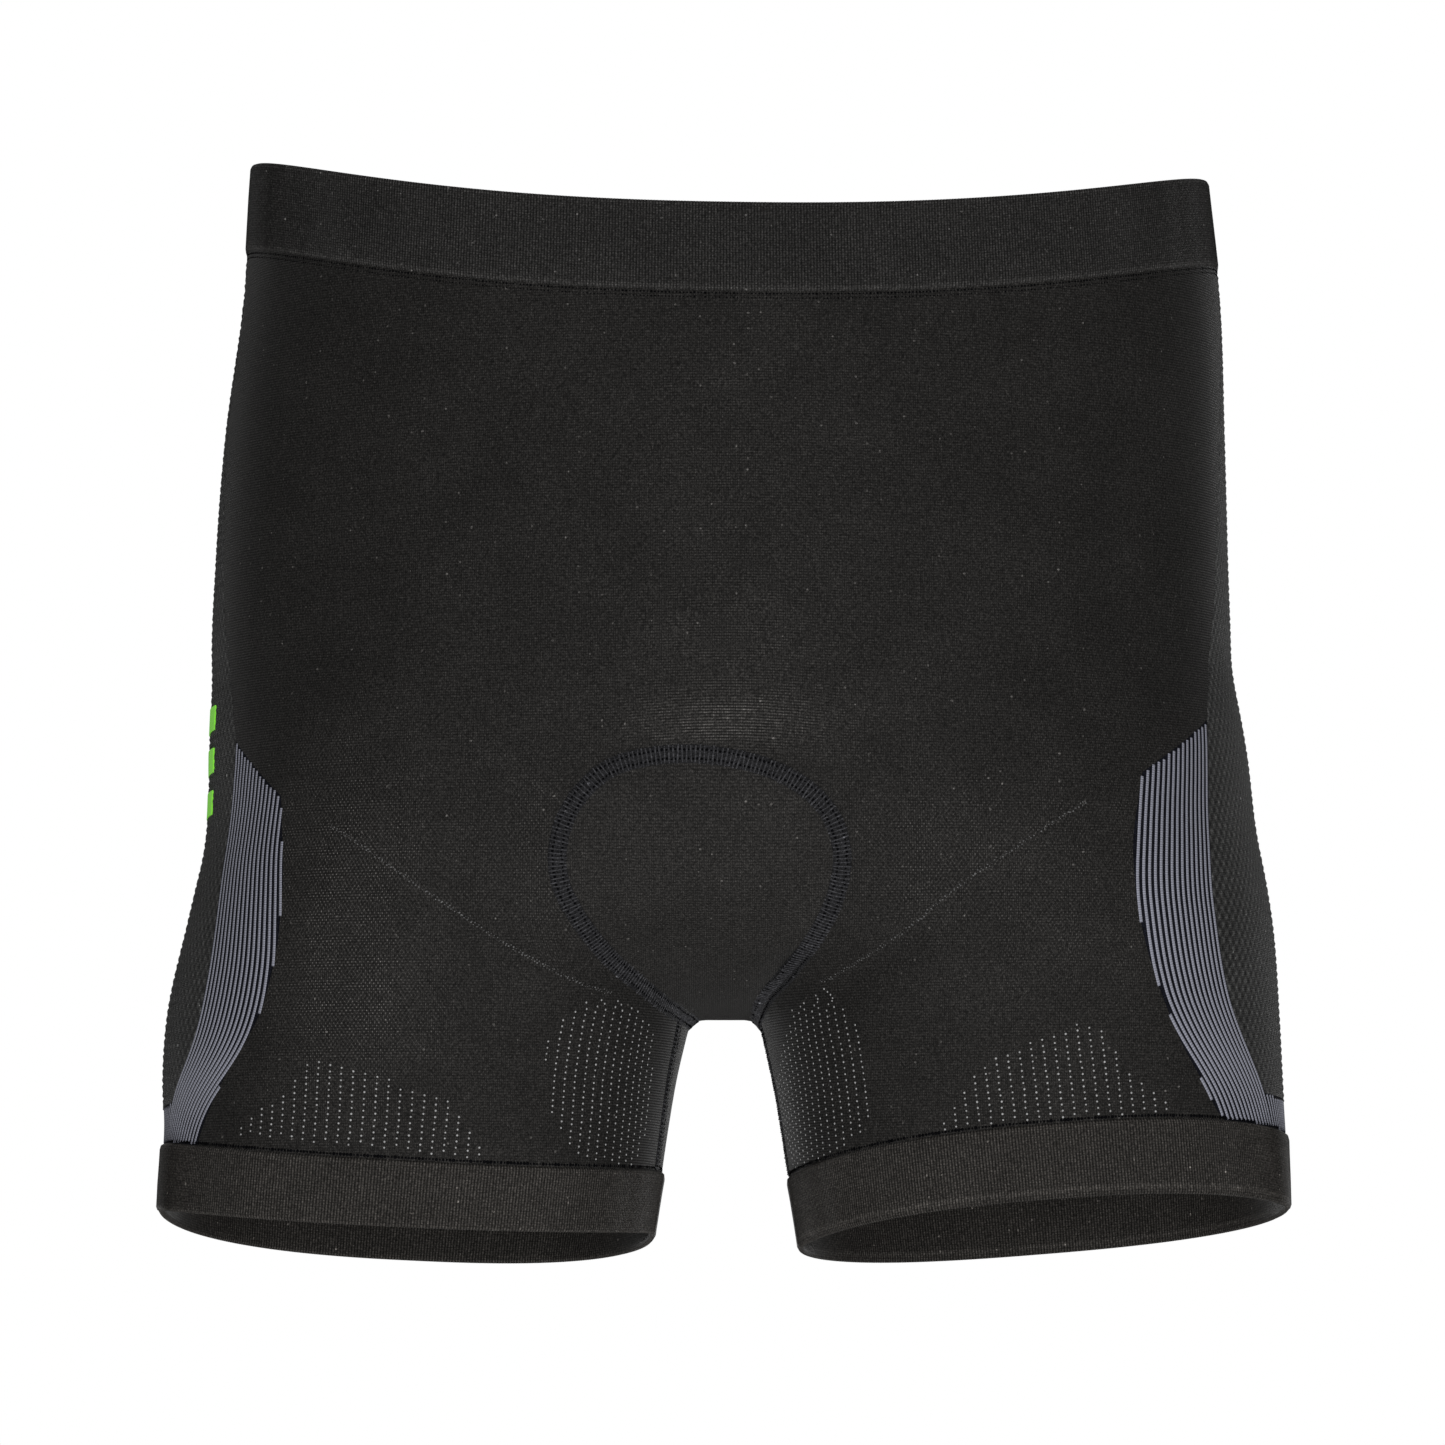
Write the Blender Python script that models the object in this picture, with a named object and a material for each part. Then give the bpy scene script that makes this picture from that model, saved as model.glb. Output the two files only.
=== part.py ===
"""Cycling shorts to mid thigh, hollow and filled out as worn, held up at the waist.

Sizes are in millimetres. X runs across the garment, the front faces -Y and Z is up, with the origin in the
middle of the waist. Right and left are the wearer's own, so the right leg is at -X. Each piece is a wall of
cloth on one shared form, and it keeps a seam gap to its neighbours.
"""
import math
import bpy
import numpy as np
from mathutils.geometry import delaunay_2d_cdt

MM = 0.001
SEAM_GAP = 0.3
CLOTH = 1.2
FOLDED = 2.2
SIDE = {"right": -1, "left": 1}

# The form. Torso sections: height, edges across, front, back, squareness of the rounded section
TORSO = (
    # z, edge at -X, edge at +X, front, back, square
    (-200, -165, 166, -110, 128, 2.3),
    (-168, -169, 167, -112, 127, 2.3),
    (-128, -168, 166, -112, 122, 2.3),
    (-88, -165, 165, -109, 115, 2.3),
    (-42, -159, 163.5, -106, 109, 2.3),
    (0, -156.5, 159, -103, 105, 2.3),
    (20, -154, 156, -102, 104, 2.3),
)
# The seat closes as a rounded bowl between the legs
BOWL_TOP = -190
BOWL_DEEP = 89
BOWL_ROUND = 2.3
# Leg sections, measured outwards from the middle of the garment
LEG = {
    "right": (
        # z, inner edge, outer edge, front, back, square
        (-385, 30, 184.5, -80, 85, 2.5),
        (-335, 21.5, 185.1, -81, 88, 2.5),
        (-316, 18.7, 184, -82.5, 90.5, 2.4),
        (-300, 16, 184.6, -84, 93, 2.3),
        (-280, 11.5, 183.5, -87, 98, 2.2),
        (-247, 6, 176.5, -94, 108, 2.2),
        (-215, 3, 169, -97, 113, 2.2),
        (-180, 8, 161, -90, 104, 2.2),
        (-130, 20, 126, -68, 78, 2.2),
        (-80, 30, 105, -40, 50, 2.2),
    ),
    "left": (
        (-385, 30, 183.5, -80, 85, 2.5),
        (-333, 21.5, 184.5, -81, 88, 2.5),
        (-300, 16, 183.1, -84, 93, 2.3),
        (-280, 11.5, 182.3, -87, 98, 2.2),
        (-247, 6, 180, -94, 108, 2.2),
        (-215, 3, 174, -97, 113, 2.2),
        (-180, 8, 164, -90, 104, 2.2),
        (-130, 20, 126, -68, 78, 2.2),
        (-80, 30, 105, -40, 50, 2.2),
    ),
}
BLEND = 18
# The legs leave the bottom of the gusset at a sharper corner, where the seams meet
FORK_BLEND = 5
FORK_TURN = (-250, -268)
FORK_WIDE = (25, 55)

# Sections are read from an axis inside each half
AXIS_Y = 8
AXIS_X_BY_HEIGHT = ((-330, -280, -150, 0), (104, 98, 78, 75))
GRID_TOP = 14
GRID_LOW = -384
GRID_STEP = 2
FORK_BAND = (-300, -262)
FORK_STEP = 0.5
RAYS_A_HALF = 100
LINES_A_HALF = 90

# The front elevation is drawn from below the middle of the garment, as the eye sees it
VIEW_REACH = 3000
VIEW_RISE = math.radians(5)
VIEW_AIM = np.array((-0.8, 0, -181.7))
VIEW_WAY = np.array((0, math.cos(VIEW_RISE), math.sin(VIEW_RISE)))
VIEW_UP = np.array((0, -math.sin(VIEW_RISE), math.cos(VIEW_RISE)))
EYE = VIEW_AIM - VIEW_REACH * VIEW_WAY


def smooth_rows(table, at):
    """Read a table's columns at the given heights, on a smooth curve through its rows."""
    table = np.asarray(table, float)
    keys, values = table[:, 0], table[:, 1:]
    slopes = np.gradient(values, keys, axis=0)
    at = np.clip(at, keys[0], keys[-1])
    row = np.clip(np.searchsorted(keys, at) - 1, 0, len(keys) - 2)
    step = keys[row + 1] - keys[row]
    t = ((at - keys[row]) / step)[..., None]
    step = step[..., None]
    rise = slopes[row] * step
    fall = slopes[row + 1] * step
    start_part = values[row] * (2 * t ** 3 - 3 * t ** 2 + 1) + rise * (t ** 3 - 2 * t ** 2 + t)
    end_part = values[row + 1] * (3 * t ** 2 - 2 * t ** 3) + fall * (t ** 3 - t ** 2)
    return np.moveaxis(start_part + end_part, -1, 0)


def rounded_gap(dx, dy, dz, half_w, half_d, square, sink=0.0):
    """Distance outside a rounded section, negative inside it; sink closes it downwards."""
    ratio = (np.abs(dx / half_w) ** square + np.abs(dy / half_d) ** square) ** (1 / square)
    ratio = np.maximum((ratio ** BOWL_ROUND + sink ** BOWL_ROUND) ** (1 / BOWL_ROUND), 1e-6)
    return np.sqrt(dx * dx + dy * dy + dz * dz) * (1 - 1 / ratio)


def soft_union(a, b, blend):
    near = np.maximum(blend - np.abs(a - b), 0) / blend
    return np.minimum(a, b) - near * near * blend / 4


def blend_at(x, z):
    """How widely the legs and the torso run into each other."""
    low = np.clip((FORK_TURN[0] - z) / (FORK_TURN[0] - FORK_TURN[1]), 0, 1)
    middle = np.clip((FORK_WIDE[1] - np.abs(x)) / (FORK_WIDE[1] - FORK_WIDE[0]), 0, 1)
    share = low * low * (3 - 2 * low) * middle * middle * (3 - 2 * middle)
    return BLEND - (BLEND - FORK_BLEND) * share


def form_gap(points):
    """Distance of points outside the filled-out garment, negative inside it."""
    x, y, z = np.moveaxis(np.asarray(points, float), -1, 0)
    low, high, front, back, square = smooth_rows(TORSO, z)
    below = np.maximum(BOWL_TOP - z, 0)
    gap = rounded_gap(x - (low + high) / 2, y - (front + back) / 2, below,
                      (high - low) / 2, (back - front) / 2, square, below / BOWL_DEEP)
    blend = blend_at(x, z)
    for side, way in SIDE.items():
        inner, outer, front, back, square = smooth_rows(LEG[side], z)
        leg = rounded_gap(way * x - (inner + outer) / 2, y - (front + back) / 2, 0 * z,
                          (outer - inner) / 2, (back - front) / 2, square)
        gap = soft_union(gap, leg, blend)
    return gap


def form_slope(points):
    points = np.asarray(points, float)
    reach = 0.4
    steps = np.eye(3) * reach
    return np.stack([(form_gap(points + s) - form_gap(points - s)) / (2 * reach) for s in steps], axis=-1)


def form_normal(points):
    slope = form_slope(points)
    return slope / np.linalg.norm(slope, axis=-1, keepdims=True)


def settle(points):
    """Bring points that lie close to the form onto it."""
    points = np.array(points, float)
    for _ in range(4):
        slope = form_slope(points)
        points -= slope * (form_gap(points) / (slope ** 2).sum(-1))[..., None]
    return points


def edge_between(point_at, inside, outside, rounds=34):
    """Halve the stretch from inside to outside until it pins the form's edge."""
    inside, outside = np.array(inside, float), np.array(outside, float)
    for _ in range(rounds):
        middle = (inside + outside) / 2
        within = form_gap(point_at(middle)) < 0
        inside = np.where(within, middle, inside)
        outside = np.where(within, outside, middle)
    return (inside + outside) / 2


def centre_edge(heights, reach):
    return edge_between(lambda y: np.stack([0 * y, y, heights], -1), np.full_like(heights, AXIS_Y),
                        np.full_like(heights, reach))


LEVELS = np.unique(np.concatenate([np.arange(GRID_LOW, GRID_TOP + 1, GRID_STEP),
                                   np.arange(*FORK_BAND, FORK_STEP)]).astype(float))
LINES = np.linspace(-1, 1, 2 * LINES_A_HALF + 1)
IN_BODY = form_gap(np.stack([0 * LEVELS, 0 * LEVELS + AXIS_Y, LEVELS], -1)) < 0
FORK = LEVELS[IN_BODY].min()


def half_sections(side):
    """Level sections of one half, at even steps along their length.

    A line's number runs from -1, at the front centre or the inseam, through 0 at the side, to 1 at the back.
    """
    axis = np.interp(LEVELS, *AXIS_X_BY_HEIGHT)
    front = np.where(IN_BODY, np.arctan2(centre_edge(LEVELS, -180) - AXIS_Y, -axis), -math.pi)
    back = np.where(IN_BODY, np.arctan2(centre_edge(LEVELS, 190) - AXIS_Y, -axis), math.pi)
    share = np.linspace(0, 1, RAYS_A_HALF + 1)
    turn = np.concatenate([front[:, None] * (1 - share), back[:, None] * share[1:]], axis=1)
    out, along = np.cos(turn), np.sin(turn)

    def at(reach):
        return np.stack([SIDE[side] * (axis[:, None] + reach * out), AXIS_Y + reach * along,
                         LEVELS[:, None] + 0 * reach], -1)

    to_middle = np.where(out < -1e-9, axis[:, None] / np.maximum(-out, 1e-9), 400)
    places = at(edge_between(at, np.zeros_like(turn), np.minimum(to_middle, 300)))
    steps = np.linalg.norm(np.diff(places, axis=1), axis=-1)
    run = np.concatenate([np.zeros((len(LEVELS), 1)), np.cumsum(steps, axis=1)], axis=1)
    side_run = run[:, RAYS_A_HALF:RAYS_A_HALF + 1]
    number = np.where(run < side_run, run / side_run - 1, (run - side_run) / (run[:, -1:] - side_run))
    even = [[np.interp(LINES, number[i], part[i]) for part in (*np.moveaxis(places, -1, 0), turn)]
            for i in range(len(LEVELS))]
    return np.moveaxis(np.array(even), 1, -1)


GRID = {side: half_sections(side) for side in SIDE}


def grid_rows(z):
    low = np.clip(np.searchsorted(LEVELS, z) - 1, 0, len(LEVELS) - 2)
    return low, np.clip((z - LEVELS[low]) / (LEVELS[low + 1] - LEVELS[low]), 0, 1)


def on_form(side, line, z):
    """Points of the form on a half's numbered lines at the given heights."""
    line, z = np.broadcast_arrays(np.asarray(line, float), np.asarray(z, float))
    line = np.where(np.abs(line) > 1, (line + 1) % 2 - 1, line)
    low, share = grid_rows(z)
    place = (line + 1) / 2 * (len(LINES) - 1)
    left = np.clip(np.floor(place).astype(int), 0, len(LINES) - 2)
    across = (place - left)[..., None]
    grid = GRID[side]
    lower = grid[low, left] * (1 - across) + grid[low, left + 1] * across
    upper = grid[low + 1, left] * (1 - across) + grid[low + 1, left + 1] * across
    return settle((lower + (upper - lower) * share[..., None])[..., :3])


def line_of(points, side):
    """The line numbers of points on one half of the form."""
    low, share = grid_rows(points[:, 2])
    axis = np.interp(points[:, 2], *AXIS_X_BY_HEIGHT)
    turn = np.arctan2(points[:, 1] - AXIS_Y, SIDE[side] * points[:, 0] - axis)
    turns = GRID[side][low, :, 3] * (1 - share)[:, None] + GRID[side][low + 1, :, 3] * share[:, None]
    return np.array([np.interp(t, row, LINES) for t, row in zip(turn, turns)])


def seen(*rows):
    """Points of the form behind places (across, up) in the front elevation."""
    across, up = np.array(rows, float).T
    target = (VIEW_AIM + (across - VIEW_AIM[0])[:, None] * np.array((1, 0, 0))
              + (up - VIEW_AIM[2])[:, None] * VIEW_UP)
    way = target - EYE
    way /= np.linalg.norm(way, axis=1, keepdims=True)
    reach = np.linspace(VIEW_REACH - 180, VIEW_REACH + 60, 161)
    gap = form_gap(EYE + reach[None, :, None] * way[:, None, :])
    hit = (gap < 0).any(axis=1)
    first = np.where(hit, np.argmax(gap < 0, axis=1), np.argmin(gap, axis=1))
    found = edge_between(lambda r: EYE + r[:, None] * way, reach[first], reach[first - 1])
    return settle(EYE + np.where(hit, found, reach[first])[:, None] * way)


def curve(points, spacing, closed=False, count=None):
    """A smooth curve on the form through points, with vertices at even steps."""
    points = np.asarray(points, float)
    ring = np.vstack([points[-1:], points, points[:2]]) if closed else np.vstack(
        [2 * points[:1] - points[1:2], points, 2 * points[-1:] - points[-2:-1]])
    fine = []
    for a, b, c, d in zip(ring, ring[1:], ring[2:], ring[3:]):
        t = np.linspace(0, 1, 12, endpoint=False)[:, None]
        fine.append(b + 0.5 * t * (c - a + t * (2 * a - 5 * b + 4 * c - d + t * (3 * (b - c) + d - a))))
    fine = np.vstack(fine + [ring[-2:-1] if closed else points[-1:]])
    run = np.concatenate([[0], np.cumsum(np.linalg.norm(np.diff(fine, axis=0), axis=1))])
    count = count or max(1, round(run[-1] / spacing))
    even = np.linspace(0, run[-1], count + 1)
    found = np.stack([np.interp(even, run, part) for part in fine.T], -1)
    inner = settle(found[1:-1])
    ends = settle(found[[0, -1]])
    found = np.vstack([ends[:1], inner, ends[1:]])
    return found[:-1] if closed else found


def nearest(points, place):
    return int(np.argmin(np.linalg.norm(points - place, axis=1)))


def stretch(start, end, step):
    """The gusset seam's outer vertices from one number to another, both included."""
    ring = GUSSET_OUTER
    count = (end - start) * step % len(ring) + 1
    return ring[(start + step * np.arange(count)) % len(ring)]


def chain(*parts):
    """Join seams end to end into one closed outline."""
    outline = [parts[0][0]]
    for part in parts:
        outline += [p for p in part if np.linalg.norm(p - outline[-1]) > 0.01]
    if np.linalg.norm(outline[0] - outline[-1]) < 0.01:
        outline.pop()
    return np.array(outline)


# Piece building
def wall(name, points, faces, raised, depth, colour):
    """A closed wall of cloth: outer points raised off the form, inner points below it."""
    points = np.asarray(points, float)
    normals = form_normal(points)
    outer = points + normals * np.reshape(raised, (-1, 1))
    inner = points - normals * np.reshape(depth, (-1, 1))
    a, b, c = (points[[f[i] for f in faces]] for i in range(3))
    facing = (np.cross(b - a, c - a) * normals[[f[0] for f in faces]]).sum()
    faces = [tuple(f) if facing > 0 else tuple(reversed(f)) for f in faces]
    edges = {(f[i], f[(i + 1) % len(f)]) for f in faces for i in range(len(f))}
    count = len(points)
    skin = faces + [tuple(count + i for i in reversed(f)) for f in faces]
    skin += [(b, a, count + a, count + b) for a, b in sorted(edges) if (b, a) not in edges]
    mesh = bpy.data.meshes.new(name)
    mesh.from_pydata((np.vstack([outer, inner]) * MM).tolist(), [], skin)
    mesh.materials.append(material(*colour))
    piece = bpy.data.objects.new(name, mesh)
    bpy.context.scene.collection.objects.link(piece)
    mesh.shade_smooth()
    mesh.set_sharp_from_angle(angle=math.radians(45))
    return piece


MATERIALS = {}


def material(name, colour, rough):
    if name not in MATERIALS:
        made = bpy.data.materials.new(name)
        made.use_nodes = True
        shader = made.node_tree.nodes["Principled BSDF"]
        shader.inputs["Base Color"].default_value = (*colour, 1)
        shader.inputs["Roughness"].default_value = rough
        shader.inputs["Metallic"].default_value = 0
        MATERIALS[name] = made
    return MATERIALS[name]


def flat_area(flat):
    x, y = flat.T
    return 0.5 * (x * np.roll(y, -1) - np.roll(x, -1) * y).sum()


def inset(outline, to_flat, amount=SEAM_GAP / 2):
    """Draw an outline in from its seams, with mitred corners."""
    forward = np.roll(outline, -1, axis=0) - outline
    backward = outline - np.roll(outline, 1, axis=0)
    forward /= np.linalg.norm(forward, axis=1, keepdims=True)
    backward /= np.linalg.norm(backward, axis=1, keepdims=True)
    normals = form_normal(outline)
    inward = np.cross(normals, forward) + np.cross(normals, backward)
    inward /= np.maximum((inward ** 2).sum(1, keepdims=True) / 2, 0.25)
    drawn = outline + amount * inward
    area = abs(flat_area(to_flat(outline)))
    return drawn if abs(flat_area(to_flat(drawn))) < area else outline - amount * inward


def inside(flat, polygon, margin):
    """Which points lie inside a polygon and at least a margin from its edges."""
    a, b = polygon, np.roll(polygon, -1, axis=0)
    x, y = flat[:, None, 0], flat[:, None, 1]
    crosses = (a[:, 1] > y) != (b[:, 1] > y)
    meet = a[:, 0] + (y - a[:, 1]) / np.where(b[:, 1] == a[:, 1], 1e-9, b[:, 1] - a[:, 1]) * (b[:, 0] - a[:, 0])
    within = (crosses & (x < meet)).sum(1) % 2 == 1
    way = b - a
    share = np.clip(((flat[:, None] - a) * way).sum(-1) / (way ** 2).sum(-1), 0, 1)
    off = np.linalg.norm(flat[:, None] - (a + share[..., None] * way), axis=-1).min(1)
    return within & (off > margin)


def panel(name, outline, flat_and_form, spacing, colour):
    """A panel cut to an outline on the form, with its points at an even spacing."""
    to_flat, to_form = flat_and_form
    outline = inset(outline, to_flat)
    edge = to_flat(outline)
    low, high = edge.min(0), edge.max(0)
    rows = np.arange(low[1], high[1], spacing * math.sqrt(3) / 2)
    fill = np.array([(x + (i % 2) * spacing / 2, y) for i, y in enumerate(rows)
                     for x in np.arange(low[0], high[0], spacing)])
    fill = fill[inside(fill, edge, spacing * 0.55)]
    flat = np.vstack([edge, fill])
    bounds = [(i, (i + 1) % len(edge)) for i in range(len(edge))]
    found, _, faces, source, _, _ = delaunay_2d_cdt([tuple(p) for p in flat], bounds, [], 1, 1e-5)
    assert len(found) == len(flat), name
    order = [s[0] for s in source]
    points = np.vstack([outline, to_form(fill)])[order]
    return wall(name, points, faces, 0.0, CLOTH, colour)


def loft(name, rail_a, rail_b, across, colour, raised=0.0, depth=CLOTH, closed=False):
    """A strip between two rails, with its points brought onto the form."""
    across = np.asarray(across, float)
    ends = (rail_b - rail_a) / np.linalg.norm(rail_b - rail_a, axis=1, keepdims=True) * SEAM_GAP / 2
    rail_a, rail_b = rail_a + ends, rail_b - ends
    if not closed:
        for rail in (rail_a, rail_b):
            rail[0] += (rail[1] - rail[0]) / np.linalg.norm(rail[1] - rail[0]) * SEAM_GAP / 2
            rail[-1] += (rail[-2] - rail[-1]) / np.linalg.norm(rail[-2] - rail[-1]) * SEAM_GAP / 2
    grid = settle(rail_a[:, None] + (rail_b - rail_a)[:, None] * across[None, :, None])
    rows, columns = grid.shape[:2]
    faces = []
    for i in range(rows if closed else rows - 1):
        for j in range(columns - 1):
            a, b = i * columns + j, (i + 1) % rows * columns + j
            faces.append((a, a + 1, b + 1, b))
    lift = np.broadcast_to(raised, (rows, columns)).reshape(-1)
    depth = np.broadcast_to(depth, (rows, columns)).reshape(-1)
    return wall(name, grid.reshape(-1, 3), faces, lift, depth, colour)


JERSEY = ("jersey", (0.021, 0.020, 0.019), 0.85)
RIB = ("blue_grey_rib", (0.095, 0.105, 0.15), 0.8)
RIB_BAND = ("rib_band", (0.026, 0.024, 0.022), 0.85)
MESH_KNIT = ("mesh_knit", (0.018, 0.018, 0.018), 0.8)
THREAD = ("seam_thread", (0.03, 0.03, 0.03), 0.7)

WIDE = 225
LEG_WIDE = 250


def one_half(side):
    """Flat and form places of a panel that lies on one half only, front of the inseam."""
    def to_flat(points):
        line = line_of(points, side)
        line = np.where(line > 0.6, line - 2, line)
        return np.stack([line * LEG_WIDE, points[:, 2]], -1)

    def to_form(flat):
        return on_form(side, flat[:, 0] / LEG_WIDE, flat[:, 1])
    return to_flat, to_form


def whole_front():
    """Flat and form places of a panel that spans the front centre."""
    def to_flat(points):
        flat = np.empty((len(points), 2))
        for side, way in SIDE.items():
            own = points[:, 0] * way >= 0
            flat[own] = np.stack([way * (1 + line_of(points[own], side)) * WIDE, points[own, 2]], -1)
        return flat

    def to_form(flat):
        points = np.empty((len(flat), 3))
        for side, way in SIDE.items():
            own = flat[:, 0] * way >= 0
            points[own] = on_form(side, np.abs(flat[own, 0]) / WIDE - 1, flat[own, 1])
        return points
    return to_flat, to_form


LEG_PARTING = 0.12
PARTING_TOP = -205
PARTING_DEEP = 70


def parting(z):
    """How far the two legs are drawn apart in the flat back panel, in line numbers."""
    return LEG_PARTING * np.clip((PARTING_TOP - z) / PARTING_DEEP, 0, 1)


def whole_back():
    """Flat and form places of the back panel, which spans the back centre and both legs."""
    def to_flat(points):
        flat = np.empty((len(points), 2))
        for side, way in SIDE.items():
            own = points[:, 0] * way >= 0
            line = line_of(points[own], side)
            line = np.where(line < -0.6, line + 2, line)
            z = points[own, 2]
            flat[own] = np.stack([way * (1 - line + parting(z)) * WIDE, z], -1)
        return flat

    def to_form(flat):
        points = np.empty((len(flat), 3))
        for side, way in SIDE.items():
            own = flat[:, 0] * way >= 0
            z = flat[own, 1]
            line = 1 - np.abs(flat[own, 0]) / WIDE + parting(z)
            points[own] = on_form(side, np.where(z > FORK, np.minimum(line, 1), line), z)
        return points
    return to_flat, to_form


# The gusset is drawn by swinging round a bar that lies across the inside of the crotch
HUB_Y = AXIS_Y
HUB_Z = -200
HUB_REACH = 90


def swing(across, turn):
    """Points of the form across by x and swung by degrees: 0 ahead, 90 straight down, 180 behind."""
    across, turn = np.broadcast_arrays(np.asarray(across, float), np.radians(turn))

    def at(reach):
        return np.stack([across, HUB_Y - reach * np.cos(turn), HUB_Z - reach * np.sin(turn)], -1)
    return at(edge_between(at, np.zeros(across.shape), np.full(across.shape, 170.0)))


def gusset_flat(points):
    turn = np.degrees(np.arctan2(HUB_Z - points[:, 2], HUB_Y - points[:, 1]))
    turn = np.where(turn < -100, turn + 360, turn)
    return np.stack([points[:, 0], np.radians(turn) * HUB_REACH], -1)


def gusset_form(flat):
    return swing(flat[:, 0], np.degrees(flat[:, 1] / HUB_REACH))


# Waistband: the top edge dips at the front, and the lower edge follows it
BAND_DEEP = 29
WAIST_TILT = -0.017
WAIST_DIP = 23.8
WAIST_FRONT = 105


def waist_height(side, line):
    """Height of the waist's top edge on a numbered line."""
    level = on_form(side, line, np.zeros_like(line))
    return -0.5 + WAIST_TILT * level[:, 0] - WAIST_DIP * (np.maximum(-level[:, 1], 0) / WAIST_FRONT) ** 2


# Cuffs: heights of the top line and the hem at the outer and inner side, and how front and back lie off that
CUFF = {
    # outer top, inner top, outer hem, inner hem, front, back
    "right": (-321, -330, -343, -350.5, -4, -9.3),
    "left": (-318, -331.5, -342.5, -355, 7.5, -5.6),
}
CUFF_LEVEL = -330
LEG_HALF_DEEP = 84


def cuff_height(side, line, hem=False):
    """Height of a cuff's top line, or of its hem, on a numbered line of the leg."""
    outer, inner = CUFF[side][2:4] if hem else CUFF[side][:2]
    fore, aft = CUFF[side][4:]
    x, y, _ = on_form(side, line, CUFF_LEVEL + 0 * np.asarray(line, float)).T
    inner_x, outer_x = np.sort(np.abs(on_form(side, (0, 1), CUFF_LEVEL)[:, 0]))
    share = (outer_x - np.abs(x)) / (outer_x - inner_x)
    share_back = np.abs(y) / LEG_HALF_DEEP
    lean = np.where(y < 0, fore * share_back ** 2, aft * share_back ** 1.2)
    return outer + (inner - outer) * share + lean


def cuff_seam(side, start, end, spacing):
    line = np.linspace(start, end, max(2, round(abs(end - start) * LEG_WIDE / spacing) + 1))
    return on_form(side, line, cuff_height(side, line))


def band_seam(side, start, end, spacing):
    line = np.linspace(start, end, max(2, round(abs(end - start) * WIDE / spacing) + 1))
    return on_form(side, line, waist_height(side, line) - BAND_DEEP)


# Seams seen from the front: places (across, up) in the front elevation
CRESCENT_TOP = {"right": ((-161.4, -187.8), (-146.5, -206)), "left": ((159.1, -180.8), (138, -198))}
CRESCENT_INNER = {
    "right": ((-146.5, -206), (-146.2, -215), (-145.8, -231), (-147.3, -252), (-151, -270),
              (-154.5, -280), (-159.5, -289), (-166.5, -301.5), (-171.5, -313)),
    "left": ((138, -198), (135.3, -215), (134.8, -226), (136.2, -242), (139.8, -258),
             (145, -273.5), (151, -288), (157, -299), (162, -309)),
}
CRESCENT_OUTER = {
    "right": ((-161.4, -187.8), (-162.7, -207.5), (-164.7, -223), (-167.3, -241.5), (-169.8, -260),
              (-172.6, -275), (-175.2, -286), (-179.5, -298), (-182.5, -307)),
    "left": ((159.1, -180.8), (159.6, -201.5), (160.1, -220.5), (161, -237), (162.9, -252),
             (165.2, -266), (168.8, -279.5), (174.3, -293.5), (178.3, -304)),
}
DIAGONAL = {
    "right": ((-146.5, -206), (-125, -219), (-101.3, -235.5), (-81, -249), (-66.5, -258), (-45.5, -268.5)),
    "left": ((138, -198), (117.2, -209), (96.7, -222.4), (77.6, -235.3), (60, -250), (40.3, -262.7),
             (31, -267.5)),
}
DIAGONAL_END = {"right": (-26, -274), "left": (21, -271)}
GUSSET_SEEN = (
    (-20.5, -277.5), (-40.6, -261), (-54, -243), (-58.4, -229), (-56.4, -214.5), (-49, -202), (-36, -192.5),
    (-13.5, -188.8), (10, -192), (27, -199.7), (37.6, -210.8), (41.8, -225), (39.4, -240), (32.6, -253.5),
    (23, -266.5), (15.5, -274.5),
)
# The rest of the gusset, under the crotch and up the seat: half width and swing
GUSSET_UNDER = ((12, 86), (12.5, 98), (18, 110), (27, 125), (35, 141), (38, 157), (32, 173), (18, 184))
GUSSET_BACK_TOP = 187
GUSSET_STEP = 7.5
GUSSET_FILL = 11
SEAM_WIDE = 6
SEAM_RAISED = 0.5
BAND_RAISED = 0.6
CUFF_RAISED = 1.0
MESH_FRONT = {"right": ((-0.06, None), (-0.1, -75), (-0.14, -117), (-0.178, -155)),
              "left": ((-0.08, None), (-0.121, -71), (-0.172, -125), (-0.203, -155))}
MESH_BACK_LINE = 0.42
MESH_BACK_HEIGHTS = (-100, -200, -270)
FOOT_SHIFT = 0.012
STRIP_DEEP = 11
STRIP_GUIDES = 6
INSEAM_LINE = {"right": 1.105, "left": 1.04}
INSEAM_HALF = 0.0105
INSEAM_DROPS = (20, 34)
INSEAM_SPANS = 4

CLOTH_STEP = 18
RIBS = 13
RIB_STEP = 14
RIB_RAISED = 0.45


def gusset_rails():
    """The outer and inner edge of the seam round the gusset, as closed rings of matching vertices."""
    half, turn = np.array(GUSSET_UNDER).T
    outer = curve(np.vstack([seen(*GUSSET_SEEN), swing(half, turn), swing([0.0], [GUSSET_BACK_TOP]),
                             swing(-half[::-1], turn[::-1])]), GUSSET_STEP, closed=True)
    way = np.roll(outer, -1, axis=0) - np.roll(outer, 1, axis=0)
    inward = np.cross(form_normal(outer), way)
    inward /= np.linalg.norm(inward, axis=1, keepdims=True)
    middle = outer.mean(0)
    if ((middle - outer) * inward).sum() < 0:
        inward = -inward
    return outer, settle(settle(outer + inward * SEAM_WIDE / 2) + inward * SEAM_WIDE / 2)


GUSSET_OUTER, GUSSET_INNER = gusset_rails()


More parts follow.
